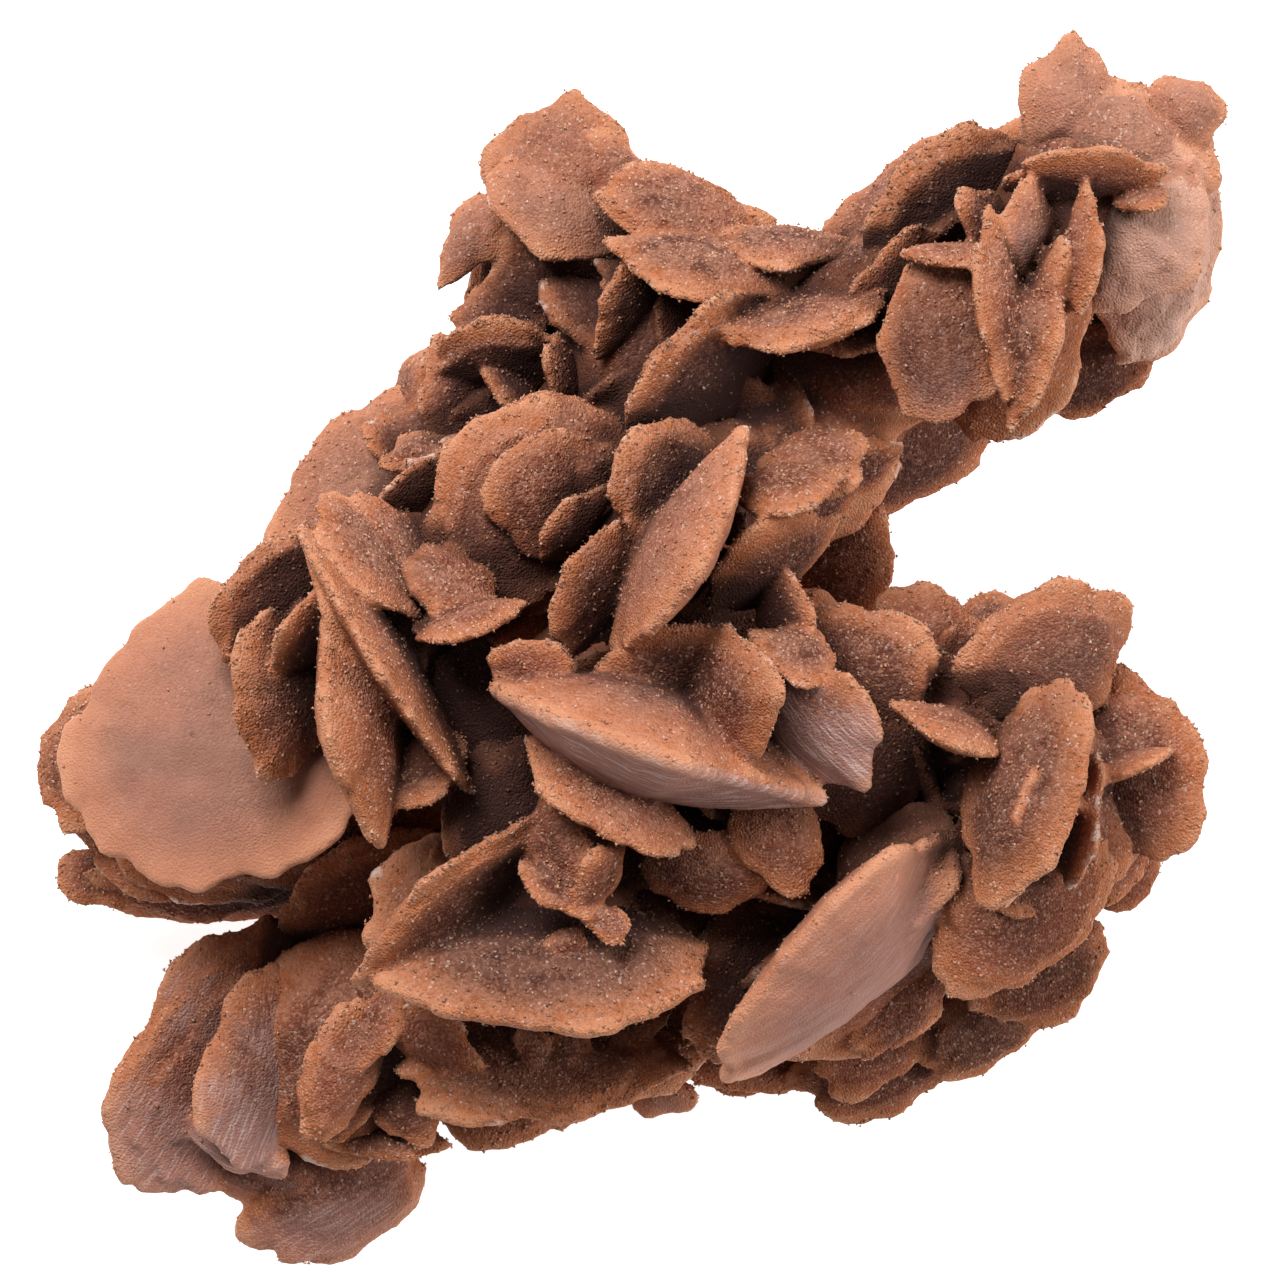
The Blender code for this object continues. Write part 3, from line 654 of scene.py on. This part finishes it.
BRIDGE = [
    Blade("great rim", (4.4, 18.0, 33.5), 7.6, 6.6, 1.4, 52, -55, 0.1, steps=1, pale=-0.9),
    Blade("bridge wedge", (11.6, 22.4, 36.5), 6.3, 4.4, 1.3, 14, 65, 0.5, steps=1),
    Blade("bridge chip", (14.4, 21.3, 35.5), 3.4, 2.3, 0.9, 5, 50),
    Blade("bridge shade", (14.7, 16.8, 27.5), 5.7, 5.2, 1.3, 0, -35, pale=-0.9),
    Blade("bridge under", (18.4, 13.2, 23.5), 8.4, 4.8, 1.4, 27, -42, 0.2, pale=-0.6),
    Blade("neck disc", (14.6, 5.6, 25.0), 4.8, 4.0, 1.2, 85, 25, pale=-0.4),
]

upper_left_arm = grown("upper_left_arm", UPPER_LEFT_ARM + BRIDGE, 19.0)
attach(upper_left_arm, "root")
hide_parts("sand_rose")


# The upper right arm is the heaviest: a bleached block at its head, a broad flank, and upright crystals
# in front. Its outer faces stood clear of the sand and weathered paler than the rest.
UPPER_RIGHT_ARM = [
    Blade("sweep outer", (19.2, 31.0, 31.0), 8.4, 4.6, 1.4, 37, 48, 0.3, pale=-0.2),
    Blade("sweep inner", (21.6, 30.2, 32.6), 7.4, 5.4, 1.5, 44, -34, 0.2, steps=1, pale=-0.8),
    Blade("sweep lower", (17.5, 24.3, 34.5), 5.2, 3.6, 1.1, 55, -45),
    Blade("sweep root", (13.7, 25.4, 33.5), 4.8, 2.8, 1.1, 32, 50),
    Blade("head block", (33.4, 34.6, 32.6), 7.6, 5.0, 4.0, -18, 15, 0.0, bare=0.3, pale=0.4),
    Blade("head peak", (29.9, 37.6, 33.6), 5.0, 3.6, 2.6, 84, -10, 0.6, bare=0.3, pale=0.4),
    Blade("head corner", (38.2, 37.0, 33.0), 2.9, 2.6, 2.3, -30, 8, 0.0, bare=0.3, pale=0.4),
    Blade("head visor", (30.8, 32.4, 38.6), 5.6, 3.3, 1.2, 3, -60, 0.3),
    Blade("flank", (36.5, 28.6, 30.5), 9.2, 4.3, 3.2, 80, -12, 0.0, bare=0.25, pale=0.75),
    Blade("flank bulge", (34.9, 28.8, 34.2), 6.2, 4.8, 3.0, 70, 6, 0.0, bare=0.25, pale=0.7),
    Blade("flank shin", (37.0, 23.2, 29.8), 4.4, 2.4, 2.2, 54, -20, 0.0, bare=0.25, pale=0.8),
    Blade("flank rim", (31.6, 19.2, 26.5), 5.2, 3.4, 1.2, 20, -24, 0.0, steps=1, pale=-0.8),
    Blade("flank floor", (32.2, 22.4, 26.6), 4.6, 4.0, 1.2, 60, -8, 0.0, pale=-0.8),
    Blade("front lobe", (21.0, 21.0, 40.0), 6.2, 4.3, 1.6, 84, 12, 0.0, bare=0.4, pale=-0.55),
    Blade("front lens", (24.9, 23.3, 41.6), 6.4, 3.2, 1.5, -84, 60, 0.25),
    Blade("front blade", (27.4, 21.2, 41.2), 6.6, 3.1, 1.5, 76, 58, 0.15),
    Blade("front fin", (30.4, 26.6, 40.4), 4.6, 3.0, 1.3, 82, 58, 0.3),
    Blade("inner chip", (23.9, 29.2, 37.5), 2.8, 2.2, 0.9, -70, 40),
    Blade("inner post", (26.9, 28.6, 39.8), 3.4, 2.6, 1.3, 82, -42, bare=0.5, pale=0.2),
    Blade("sliver", (21.9, 26.7, 41.0), 3.6, 2.6, 0.7, 0, 70, 0.5),
    Blade("flank chip", (35.0, 30.6, 38.0), 2.1, 1.5, 0.8, 8, 60),
]

upper_right_arm = grown("upper_right_arm", UPPER_RIGHT_ARM, 27.0)
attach(upper_right_arm, "root")
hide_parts("sand_rose")


# The right cluster: broad discs and a tall lens round a thick clean wedge, all of the same sandy gypsum,
# with small thin crystals at its foot.
RIGHT_CLUSTER = [
    Blade("right crown", (28.4, -1.1, 35.5), 6.9, 5.2, 1.7, 32, -30, 0.1, bare=0.3, pale=0.1, steps=1),
    Blade("right bud", (24.5, 1.3, 29.5), 2.8, 2.0, 0.9, 20, 0),
    Blade("right saddle", (20.6, -0.3, 31.5), 5.0, 3.8, 1.3, -40, 10),
    Blade("right step", (22.0, -2.6, 32.5), 2.8, 2.2, 0.9, -60, 40),
    Blade("right lens", (26.8, -10.5, 41.0), 8.4, 5.2, 2.1, 69, 42, 0.4, bare=0.3, pale=-0.35),
    Blade("right lens strip", (28.3, -11.2, 40.3), 7.4, 3.6, 1.5, 69, -60, 0.4, bare=0.7, pale=0.45),
    Blade("right disc", (34.3, -9.2, 31.5), 7.0, 5.6, 1.6, -80, -15, 0.0, bare=0.3),
    Blade("right plate", (26.7, -18.5, 33.5), 7.6, 5.8, 1.5, 45, -25, 0.1, steps=1),
    Blade("right ear", (33.0, -15.4, 30.5), 3.8, 2.8, 1.1, 60, -20),
    Blade("right tab", (34.2, -16.9, 27.5), 2.8, 2.2, 0.9, 30, -10),
    Blade("right lower", (28.4, -23.4, 27.5), 5.2, 3.9, 1.1, 30, -15, steps=1, pale=-0.2),
    Blade("right hem", (24.4, -27.8, 21.5), 5.2, 3.2, 1.1, 28, -25, steps=1, pale=-0.3),
    Blade("base right", (16.8, -30.5, 19.5), 6.2, 3.9, 1.2, 15, -20, steps=1, pale=-0.4),
    Blade("base right scale", (16.5, -29.5, 22.0), 4.4, 2.8, 0.9, 25, -15),
    Blade("tongue outer", (19.0, -26.2, 26.5), 4.6, 1.9, 1.0, 48, -20),
    Blade("tongue inner", (17.6, -25.6, 27.0), 4.4, 1.7, 0.9, 52, -20),
    Blade("great wedge", (14.7, -21.7, 34.5), 12.0, 8.2, 3.2, 44, -64, 0.2, bare=0.9, pale=0.3),
    Blade("wedge step", (17.6, -16.8, 35.0), 6.4, 4.3, 2.1, 55, 30, 0.2, bare=0.5, pale=0.1),
    Blade("wedge wall", (7.7, -23.6, 29.5), 6.8, 5.0, 1.4, 60, -35, steps=1, pale=-0.5),
    Blade("base chip", (7.0, -30.0, 18.8), 5.2, 2.7, 0.9, -12, 30),
    Blade("base crumb", (7.2, -31.0, 17.8), 3.2, 1.7, 0.8, 0, 0),
]

right_cluster = grown("right_cluster", RIGHT_CLUSTER, 35.0)
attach(right_cluster, "root")
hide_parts("sand_rose")


# The bowl is one large lens that leans back, with a wall behind it and small crossed crystals inside.
# Ragged plates grew under it, and terraced discs at the lower left corner.
BOWL = [
    Blade("bowl pan", (-6.7, -22.3, 36.5), 11.5, 7.6, 2.6, -2, 50, 0.0, bare=0.3, pale=-0.8),
    Blade("bowl wall", (-12.3, -18.4, 37.0), 9.0, 5.8, 1.2, 40, -60, 0.2, steps=1, pale=-0.5),
    Blade("bowl splint", (-5.6, -17.2, 40.5), 3.3, 2.4, 0.8, -32, 45, 0.4),
    Blade("bowl cross", (-3.0, -16.5, 41.0), 3.0, 2.2, 0.8, 55, -50, 0.3),
    Blade("bowl post", (-5.6, -14.0, 40.0), 3.9, 2.8, 1.1, -80, -30),
    Blade("bowl crumb", (-2.4, -19.6, 40.5), 2.1, 1.4, 0.7, -35, 30),
    Blade("bowl bead", (-5.2, -21.2, 39.0), 1.7, 1.3, 0.9, 40, 0),
    Blade("under plate", (-7.2, -30.0, 27.0), 9.8, 6.0, 1.6, 4, 45, 0.1, steps=1, pale=-0.3),
    Blade("under lobe", (-0.8, -27.2, 26.6), 3.0, 2.0, 0.9, 30, 30),
    Blade("under drop", (-7.6, -29.0, 28.6), 2.2, 1.4, 0.9, -85, 20, 0.4),
    Blade("under stub", (-4.9, -29.0, 28.4), 2.4, 1.4, 0.8, 70, 0),
    Blade("under shade", (-14.4, -28.3, 28.5), 3.8, 2.8, 1.0, -40, -40),
    Blade("under tab", (1.4, -32.3, 18.5), 2.7, 1.9, 0.9, -20, 0, bare=0.6, pale=0.4),
    Blade("under shelf", (-10.5, -33.4, 20.2), 5.0, 3.0, 1.2, 2, 20, steps=1),
    Blade("under chip", (-6.0, -33.2, 20.6), 2.3, 1.6, 0.8, -30, 0),
    Blade("under pebble", (-16.6, -33.4, 23.0), 2.8, 2.4, 1.0, -50, 0),
]

LOWER_LEFT = [
    Blade("corner lens", (-21.2, -30.4, 26.5), 5.4, 2.9, 1.5, 68, -24, 0.2, steps=1),
    Blade("corner strip", (-18.6, -27.2, 27.0), 3.8, 2.1, 1.0, 60, 40),
    Blade("corner drop", (-21.0, -33.4, 24.4), 2.6, 1.8, 0.9, 60, 0),
    Blade("corner hem", (-17.8, -35.8, 21.5), 4.2, 1.6, 0.8, 0, 30),
    Blade("corner disc", (-29.8, -30.0, 18.3), 11.0, 7.8, 2.2, 60, -30, 0.0, bare=0.6, steps=2),
    Blade("corner scale", (-26.8, -30.4, 21.8), 7.6, 5.0, 1.9, 78, -28, 0.0, bare=0.8),
    Blade("corner ledge", (-29.0, -35.4, 20.2), 4.6, 2.4, 1.1, -32, -15, 0.0, bare=0.7, steps=1),
    Blade("corner step", (-30.6, -26.6, 20.2), 5.2, 3.0, 1.0, 55, -30, 0.0, bare=0.3, steps=1),
    Blade("corner foot", (-22.0, -39.4, 15.5), 7.2, 5.3, 1.8, 35, -22, 0.0, bare=0.5, steps=1),
    Blade("corner web", (-27.2, -37.2, 17.2), 4.4, 3.4, 1.3, -20, -12, 0.0, bare=0.4),
]

bowl_and_corner = grown("bowl_and_corner", BOWL + LOWER_LEFT, 43.0)
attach(bowl_and_corner, "root")
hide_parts("sand_rose")


# The root of the rose: the thick middle that every crystal grew from, the broad blades it stands on and
# the smaller ones of its underside. It lay deepest in the sand, so it is the roughest, and painted shade
# makes it the darkest where the crystals crowd over it.
CORE = [
    Blade("core heart", (3.0, -5.0, 31.0), 14.0, 10.5, 8.5, 10, 8, 0.0),
    Blade("core crest", (2.0, 7.0, 32.0), 9.2, 8.0, 7.5, 70, 5, 0.0),
    Blade("core dome", (-8.0, 8.5, 27.5), 9.2, 8.0, 6.0, 60, -8, 0.0),
    Blade("core fan", (-19.0, -2.0, 30.0), 10.0, 7.0, 7.0, -60, 5, 0.0),
    Blade("core left", (-24.0, -9.0, 21.0), 13.0, 9.0, 7.0, 5, -6, 0.0),
    Blade("core centre", (-2.0, -6.0, 18.0), 16.0, 12.0, 7.0, 0, 8, 0.0),
    Blade("core bowl", (-7.0, -19.5, 30.0), 12.0, 7.5, 7.5, 0, 12, 0.0),
    Blade("core under", (-5.0, -26.5, 21.5), 11.5, 7.0, 6.0, 4, 12, 0.0),
    Blade("core right", (18.5, -5.5, 29.0), 11.0, 7.5, 7.5, 10, 8, 0.0),
    Blade("core far right", (28.0, -11.5, 29.5), 9.2, 8.0, 11.5, 65, 6, 0.0),
    Blade("core wedge", (14.5, -20.5, 26.0), 11.0, 8.0, 8.2, 42, -8, 0.0),
    Blade("core hem", (20.5, -24.5, 19.5), 9.2, 5.6, 4.5, 30, -12, 0.0),
    Blade("core corner", (-20.5, -28.5, 20.5), 10.0, 7.5, 6.0, 55, -8, 0.0),
    Blade("core saddle", (-13.0, 14.5, 22.5), 9.0, 6.0, 5.0, 50, 8, 0.0),
    Blade("core bridge", (2.0, 20.5, 26.0), 11.5, 7.5, 6.5, 60, 10, 0.0),
    Blade("core arm", (-6.0, 27.0, 20.0), 8.6, 6.2, 5.5, 80, 5, 0.0),
    Blade("core neck", (16.0, 20.5, 28.0), 11.0, 6.2, 6.0, 15, -8, 0.0),
    Blade("core tail", (-30.0, -13.5, 18.5), 8.5, 5.5, 4.5, 5, -6, 0.0),
    Blade("core keel", (-9.0, -16.0, 17.0), 11.0, 8.0, 5.5, 10, 6, 0.0),
    Blade("core bay", (9.5, 12.5, 27.5), 9.0, 7.0, 8.0, 20, -8, 0.0),
    Blade("core rear", (0.0, 11.5, 19.0), 11.0, 8.0, 6.0, 10, 6, 0.0),
    Blade("core lap", (5.5, -14.5, 29.5), 9.0, 6.2, 8.6, 0, 6, 0.0),
    Blade("core head", (30.2, 30.4, 32.0), 9.2, 6.6, 7.0, 65, 6, 0.0),
    Blade("core front", (25.5, 22.0, 34.5), 8.6, 6.0, 6.5, 70, 4, 0.0),
]

FEET = [
    Blade("foot left", (-26.0, -8.0, 12.3), 10.0, 8.0, 2.3, 70, 76, 0.1),
    Blade("foot right", (25.0, -11.0, 11.8), 10.5, 7.5, 2.3, -70, 74, 0.1),
    Blade("foot front", (-9.0, -27.0, 12.0), 10.0, 8.0, 2.3, 15, -72, 0.1),
    Blade("foot corner", (12.5, -24.0, 13.0), 8.8, 9.0, 2.2, -20, -70, 0.1),
    Blade("foot back", (-1.0, 13.5, 13.5), 10.5, 9.2, 2.4, -10, 74, 0.1),
    Blade("foot arm", (-5.0, 25.0, 12.0), 8.5, 8.0, 2.1, 60, 66, 0.1),
    Blade("foot centre", (2.0, -6.0, 12.5), 11.0, 8.0, 2.4, 40, 78, 0.1),
]

# The underside's other crystals stand in a spiral round the core, each nearly on edge. Lengths are in
# mm, angles in degrees, and the breadth and half thickness are shares of the length.
UNDER_COUNT = 20
UNDER_MIDDLE = (-1.0, -10.0)
UNDER_REACH = (21.0, 15.0)
UNDER_LEVELS = (12.0, 17.0)
UNDER_LONG = (5.5, 8.5)
UNDER_WIDE = 0.75
UNDER_HALF = 0.2
UNDER_LEAN = (48.0, 84.0)
UNDER_TWIST = 40.0
GOLDEN_ANGLE = 137.508


def undergrowth():
    """The underside's crystals, spaced by the golden angle, with seeded sizes and slants."""
    spread = random.Random(7)
    blades = []
    for place in range(UNDER_COUNT):
        share = (place + 0.5) / UNDER_COUNT
        around = place * GOLDEN_ANGLE
        away = math.sqrt(share)
        x = UNDER_MIDDLE[0] + UNDER_REACH[0] * away * math.cos(math.radians(around))
        y = UNDER_MIDDLE[1] + UNDER_REACH[1] * away * math.sin(math.radians(around))
        low, high = UNDER_LEVELS
        long = spread.uniform(*UNDER_LONG)
        turn = around + spread.uniform(-UNDER_TWIST, UNDER_TWIST)
        lean = spread.choice((-1, 1)) * spread.uniform(*UNDER_LEAN)
        at = (x, y, low + (high - low) * share)
        wide, half = UNDER_WIDE * long, UNDER_HALF * long
        blades.append(Blade(f"under {place}", at, long, wide, half, turn, lean))
    return blades


# Between the large crystals the core is crowded with small ones, which stand in spirals on its lenses.
# Lengths are in mm and angles in degrees. The reach is how much of the way to the rim they cover.
CROWD_COUNT = 7
CROWD_LONG = (3.0, 4.8)
CROWD_WIDE = 0.72
CROWD_SHIFT = 20.0
CROWD_LEAN = (38.0, 82.0)
CROWD_HALF = 0.85
CROWD_SINK = 1.6
CROWD_REACH = 0.78
# These parts of the core lie open at the rose's outline, where a small crystal would stick out.
OPEN_CORE = (
    "core head",
    "core front",
    "core neck",
    "core corner",
    "core arm",
    "core hem",
    "core tail",
    "core left",
)


def crowd(core, spread):
    """Small crystals standing on one lens of the core, spaced by the golden angle."""
    blades = []
    for place in range(CROWD_COUNT):
        share = CROWD_REACH * math.sqrt((place + 0.5) / CROWD_COUNT)
        around = math.radians(place * GOLDEN_ANGLE + spread.uniform(-CROWD_SHIFT, CROWD_SHIFT))
        local = (
            core.long * share * math.cos(around),
            core.wide * share * math.sin(around),
            dome(core, share) - CROWD_SINK,
        )
        at = tuple(np.array(core.at) + np.array(local) @ axes(core))
        long = spread.uniform(*CROWD_LONG)
        lean = spread.choice((-1, 1)) * spread.uniform(*CROWD_LEAN)
        turn = spread.uniform(0.0, 180.0)
        name = f"{core.name} crystal {place}"
        blades.append(Blade(name, at, long, CROWD_WIDE * long, CROWD_HALF, turn, lean, 0.25))
    return blades


# Here the core is drawn slimmer than its place in the rose allows, so that the gaps over it are deep.
CORE_SLIM = 0.78
ROOT_GRIT = 0.40
ROOT_KEPT = 0.40
crowding = random.Random(23)
slim_core = [core._replace(half=CORE_SLIM * core.half) for core in CORE]
crowded = [blade for core in slim_core if core.name not in OPEN_CORE for blade in crowd(core, crowding)]
root_blades = slim_core + FEET + undergrowth() + crowded
root = grown("root", root_blades, 51.0, ROOT_GRIT, ROOT_KEPT)
# The feet are cut flat where they stand on the table.
stood = points_of(root.data)
stood[:, 2] = np.maximum(stood[:, 2], 0.0)
put_points(root.data, stood)
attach(root, "root")
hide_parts("sand_rose")


# Where the crystals crowd together their faces are painted darker, as painted shade in the gaps.
# How crowded a place is comes from the surfaces found in a grid of small cells round it. A point is
# judged a little way out from its surface. Lengths are in mm.
CELL = 0.9
GRID_MARGIN = 8.0
SPREAD_CELLS = 3
SPREAD_TIMES = 3
LOOK_OUT = 2.6
# The root's surface counts for more, because it is drawn more coarsely.
ROOT_WEIGHT = 1.8
crystals = (
    heart_and_crest,
    fan_and_left_back,
    upper_left_arm,
    upper_right_arm,
    right_cluster,
    bowl_and_corner,
)
pieces = crystals + (root,)
surfaces = [points_of(piece.data) / MM for piece in pieces]
everything = np.vstack(surfaces)
low_corner = everything.min(axis=0) - GRID_MARGIN
cells = np.ceil((everything.max(axis=0) + GRID_MARGIN - low_corner) / CELL).astype(int)


def cell_of(points):
    return tuple(np.clip((points - low_corner) / CELL, 0, cells - 1).astype(int).T)


crowding_grid = np.zeros(cells)
for surface, weight in zip(surfaces, [1.0] * len(crystals) + [ROOT_WEIGHT]):
    np.add.at(crowding_grid, cell_of(surface), weight)
for axis in range(3):
    for _ in range(SPREAD_TIMES):
        steps = range(-SPREAD_CELLS, SPREAD_CELLS + 1)
        crowding_grid = sum(np.roll(crowding_grid, step, axis) for step in steps)
crowding_grid /= crowding_grid.max()
for piece, surface in zip(pieces, surfaces):
    looked = surface + LOOK_OUT * normals_of(piece.data)
    gap_shade = crowding_grid[cell_of(looked)]
    keep(piece.data, "deep", relaxed(piece.data, gap_shade, 3))


# Loose sand still clings to the rose, thickest on the rims and on what faced up: quartz grains about a
# quarter of a millimetre across, from clear to rusty, which gypsum glued down as it dried.
GRAIN_PIECES = 2
GRAINS_EACH = 31000
# A grain's radius, from least to most, in mm, and how much it is stretched along each axis.
GRAIN_RADIUS = (0.10, 0.20)
GRAIN_STRETCH = (0.75, 1.3)
# How deep it sinks in, in units of its radius, and how far it strays from its spot, in mm.
GRAIN_SINK = 0.40
GRAIN_STRAY = 0.08
# How much sand a plain face holds, and how much more dusty faces and creases do. Rims hold one more.
HELD_PLAIN, HELD_DUST, HELD_CREASE = 0.25, 0.9, 0.4
# A grain is drawn as a tetrahedron: its corners in units of its radius, and its faces.
GRAIN_CORNERS = np.array([(1, 1, 1), (1, -1, -1), (-1, 1, -1), (-1, -1, 1)]) / math.sqrt(3.0)
GRAIN_FACES = np.array([(0, 1, 2), (0, 3, 1), (0, 2, 3), (1, 3, 2)])


def kept(mesh, name):
    values = np.empty(len(mesh.vertices), np.float32)
    mesh.attributes[name].data.foreach_get("value", values)
    return values.astype(float)


def cling(mesh):
    """How much loose sand lies at each point of the mesh."""
    sandy = (1.0 - kept(mesh, "bare")) ** 2 * (1.0 - 0.5 * np.clip(kept(mesh, "pale"), 0.0, 1.0))
    upward = ramp(-0.6, 0.6, normals_of(mesh)[:, 2])
    held = HELD_PLAIN + kept(mesh, "edge") + HELD_DUST * kept(mesh, "dust")
    held += HELD_CREASE * kept(mesh, "crease")
    return held * sandy * (0.25 + 0.75 * upward)


def random_turns(draw, count):
    """This many random rotation matrices."""
    w, x, y, z = draw.normal(size=(4, count))
    length = np.sqrt(w * w + x * x + y * y + z * z)
    w, x, y, z = w / length, x / length, y / length, z / length
    rows = [
        (1 - 2 * (y * y + z * z), 2 * (x * y - z * w), 2 * (x * z + y * w)),
        (2 * (x * y + z * w), 1 - 2 * (x * x + z * z), 2 * (y * z - x * w)),
        (2 * (x * z - y * w), 2 * (y * z + x * w), 1 - 2 * (x * x + y * y)),
    ]
    return np.array(rows).transpose(2, 0, 1)


RUSTY_GRAIN = colour(0.34, 0.130, 0.066)
TAN_GRAIN = colour(0.52, 0.270, 0.165)


def loose_sand():
    """The grains' own material: each has one colour, from rusty to clear, darkened with painted shade
    where it lies in a crowded gap or on a shaded blade.
    """
    material = bpy.data.materials.new("loose sand")
    material.use_nodes = True
    tree = material.node_tree
    shader = tree.nodes["Principled BSDF"]
    tint, deep, pale = mask(tree, "tint"), mask(tree, "deep"), mask(tree, "pale")
    ground = blend(tint, RUSTY_GRAIN, TAN_GRAIN)
    ground = blend(pale * 0.9, ground, PINK)
    # Painted shade on the grains that lie on the shaded blades.
    ground = blend((0.0 - pale) * 0.5, ground, SHADE)
    ground = blend(tint.between(0.88, 1.0) * 0.22, ground, QUARTZ)
    # Painted shade on the grains that lie in the crowded gaps.
    ground = blend(deep.between(0.40, 0.68) * 0.75, ground, SHADE)
    tree.links.new(ground.output, shader.inputs["Base Color"])
    shader.inputs["Roughness"].default_value = 0.55
    shader.inputs["Specular IOR Level"].default_value = 0.3
    return material


LOOSE_SAND = loose_sand()
spots = np.vstack([points_of(piece.data) / MM for piece in pieces])
spot_facing = np.vstack([normals_of(piece.data) for piece in pieces])
spot_cling = np.concatenate([cling(piece.data) for piece in pieces])
spot_gap_shade = np.concatenate([kept(piece.data, "deep") for piece in pieces])
spot_pale = np.concatenate([kept(piece.data, "pale") for piece in pieces])
sowing = np.random.default_rng(5)
for number in range(GRAIN_PIECES):
    chosen = sowing.choice(len(spots), GRAINS_EACH, p=spot_cling / spot_cling.sum())
    radius = sowing.uniform(*GRAIN_RADIUS, GRAINS_EACH)
    stretch = sowing.uniform(*GRAIN_STRETCH, (GRAINS_EACH, 1, 3)) * radius[:, None, None]
    at = spots[chosen] + sowing.normal(0.0, GRAIN_STRAY, (GRAINS_EACH, 3))
    at += spot_facing[chosen] * (-GRAIN_SINK * radius)[:, None]
    turned = (GRAIN_CORNERS[None] * stretch) @ random_turns(sowing, GRAINS_EACH)
    grain_points = (turned + at[:, None]).reshape(-1, 3)
    grain_points[:, 2] = np.maximum(grain_points[:, 2], 0.0)
    first_corner = len(GRAIN_CORNERS) * np.arange(GRAINS_EACH)[:, None, None]
    grain_faces = (GRAIN_FACES[None] + first_corner).reshape(-1, 3)
    grain_mesh = bpy.data.meshes.new(f"loose_sand_{number}")
    grain_mesh.from_pydata((grain_points * MM).tolist(), [], grain_faces.tolist())
    grain_mesh.shade_smooth()
    keep(grain_mesh, "tint", np.repeat(sowing.uniform(0.0, 1.0, GRAINS_EACH), len(GRAIN_CORNERS)))
    keep(grain_mesh, "deep", np.repeat(spot_gap_shade[chosen], len(GRAIN_CORNERS)))
    keep(grain_mesh, "pale", np.repeat(spot_pale[chosen], len(GRAIN_CORNERS)))
    grain_mesh.materials.append(LOOSE_SAND)
    grains = bpy.data.objects.new(f"loose_sand_{number}", grain_mesh)
    bpy.context.scene.collection.objects.link(grains)
    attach(grains, "root")
    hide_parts("sand_rose")


# The floor is a plain sheet of white paper under the rose. It glows a little of itself, as if it were
# lit from below, so that it stays even and white all round.
# Half of its width, in m, and how strongly it glows.
FLOOR_HALF = 1.5
FLOOR_GLOW = 0.80
floor_corners = [(FLOOR_HALF * x, FLOOR_HALF * y, 0.0) for x, y in ((-1, -1), (1, -1), (1, 1), (-1, 1))]
floor_mesh = bpy.data.meshes.new("floor")
floor_mesh.from_pydata(floor_corners, [], [(0, 1, 2, 3)])
floor = bpy.data.objects.new("floor", floor_mesh)
bpy.context.scene.collection.objects.link(floor)
paper = bpy.data.materials.new("pale paper")
paper.use_nodes = True
sheet = paper.node_tree.nodes["Principled BSDF"]
sheet.inputs["Base Color"].default_value = colour(0.92, 0.92, 0.92)
sheet.inputs["Roughness"].default_value = 0.9
sheet.inputs["Emission Color"].default_value = colour(1.0, 1.0, 1.0)
sheet.inputs["Emission Strength"].default_value = FLOOR_GLOW
floor_mesh.materials.append(paper)


# Soft studio light: an even white surround, one large lamp from the side of the two arms and a weak one
# from the right.
# How strong the surround is, and the point that the lamps are aimed at, in m.
STUDIO_LIGHT = 0.17
AIM = (0.0, 0.0, 0.02)
world = bpy.data.worlds.new("studio")
world.use_nodes = True
world.node_tree.nodes["Background"].inputs["Color"].default_value = colour(1.0, 1.0, 1.0)
world.node_tree.nodes["Background"].inputs["Strength"].default_value = STUDIO_LIGHT
bpy.context.scene.world = world


def lamp(name, at, size, watts):
    """A square soft box aimed at the rose."""
    light = bpy.data.lights.new(name, "AREA")
    light.size = size
    light.energy = watts
    holder = bpy.data.objects.new(name, light)
    holder.location = at
    holder.rotation_mode = "QUATERNION"
    holder.rotation_quaternion = (Vector(AIM) - Vector(at)).to_track_quat("-Z", "Y")
    bpy.context.scene.collection.objects.link(holder)


lamp("soft box", (-0.20, 0.40, 0.54), 0.34, 7.0)
lamp("side box", (0.52, 0.02, 0.36), 0.30, 2.6)


# The camera looks straight down on the rose, from far enough that its arms hardly spread. Its frame is
# this wide at this distance from the lens, in m.
CAMERA_HEIGHT = 0.7295
FRAME_WIDTH = 0.0896
FRAME_DISTANCE = 0.70
SENSOR_WIDTH = 36.0
camera_data = bpy.data.cameras.new("camera")
camera_data.sensor_width = SENSOR_WIDTH
camera_data.lens = SENSOR_WIDTH * FRAME_DISTANCE / FRAME_WIDTH
camera_data.clip_start = 0.01
camera = bpy.data.objects.new("camera", camera_data)
camera.location = (-TABLE_POINT[0] * MM, -TABLE_POINT[1] * MM, CAMERA_HEIGHT)
bpy.context.scene.collection.objects.link(camera)
bpy.context.scene.camera = camera
bpy.context.scene.view_settings.view_transform = "Standard"
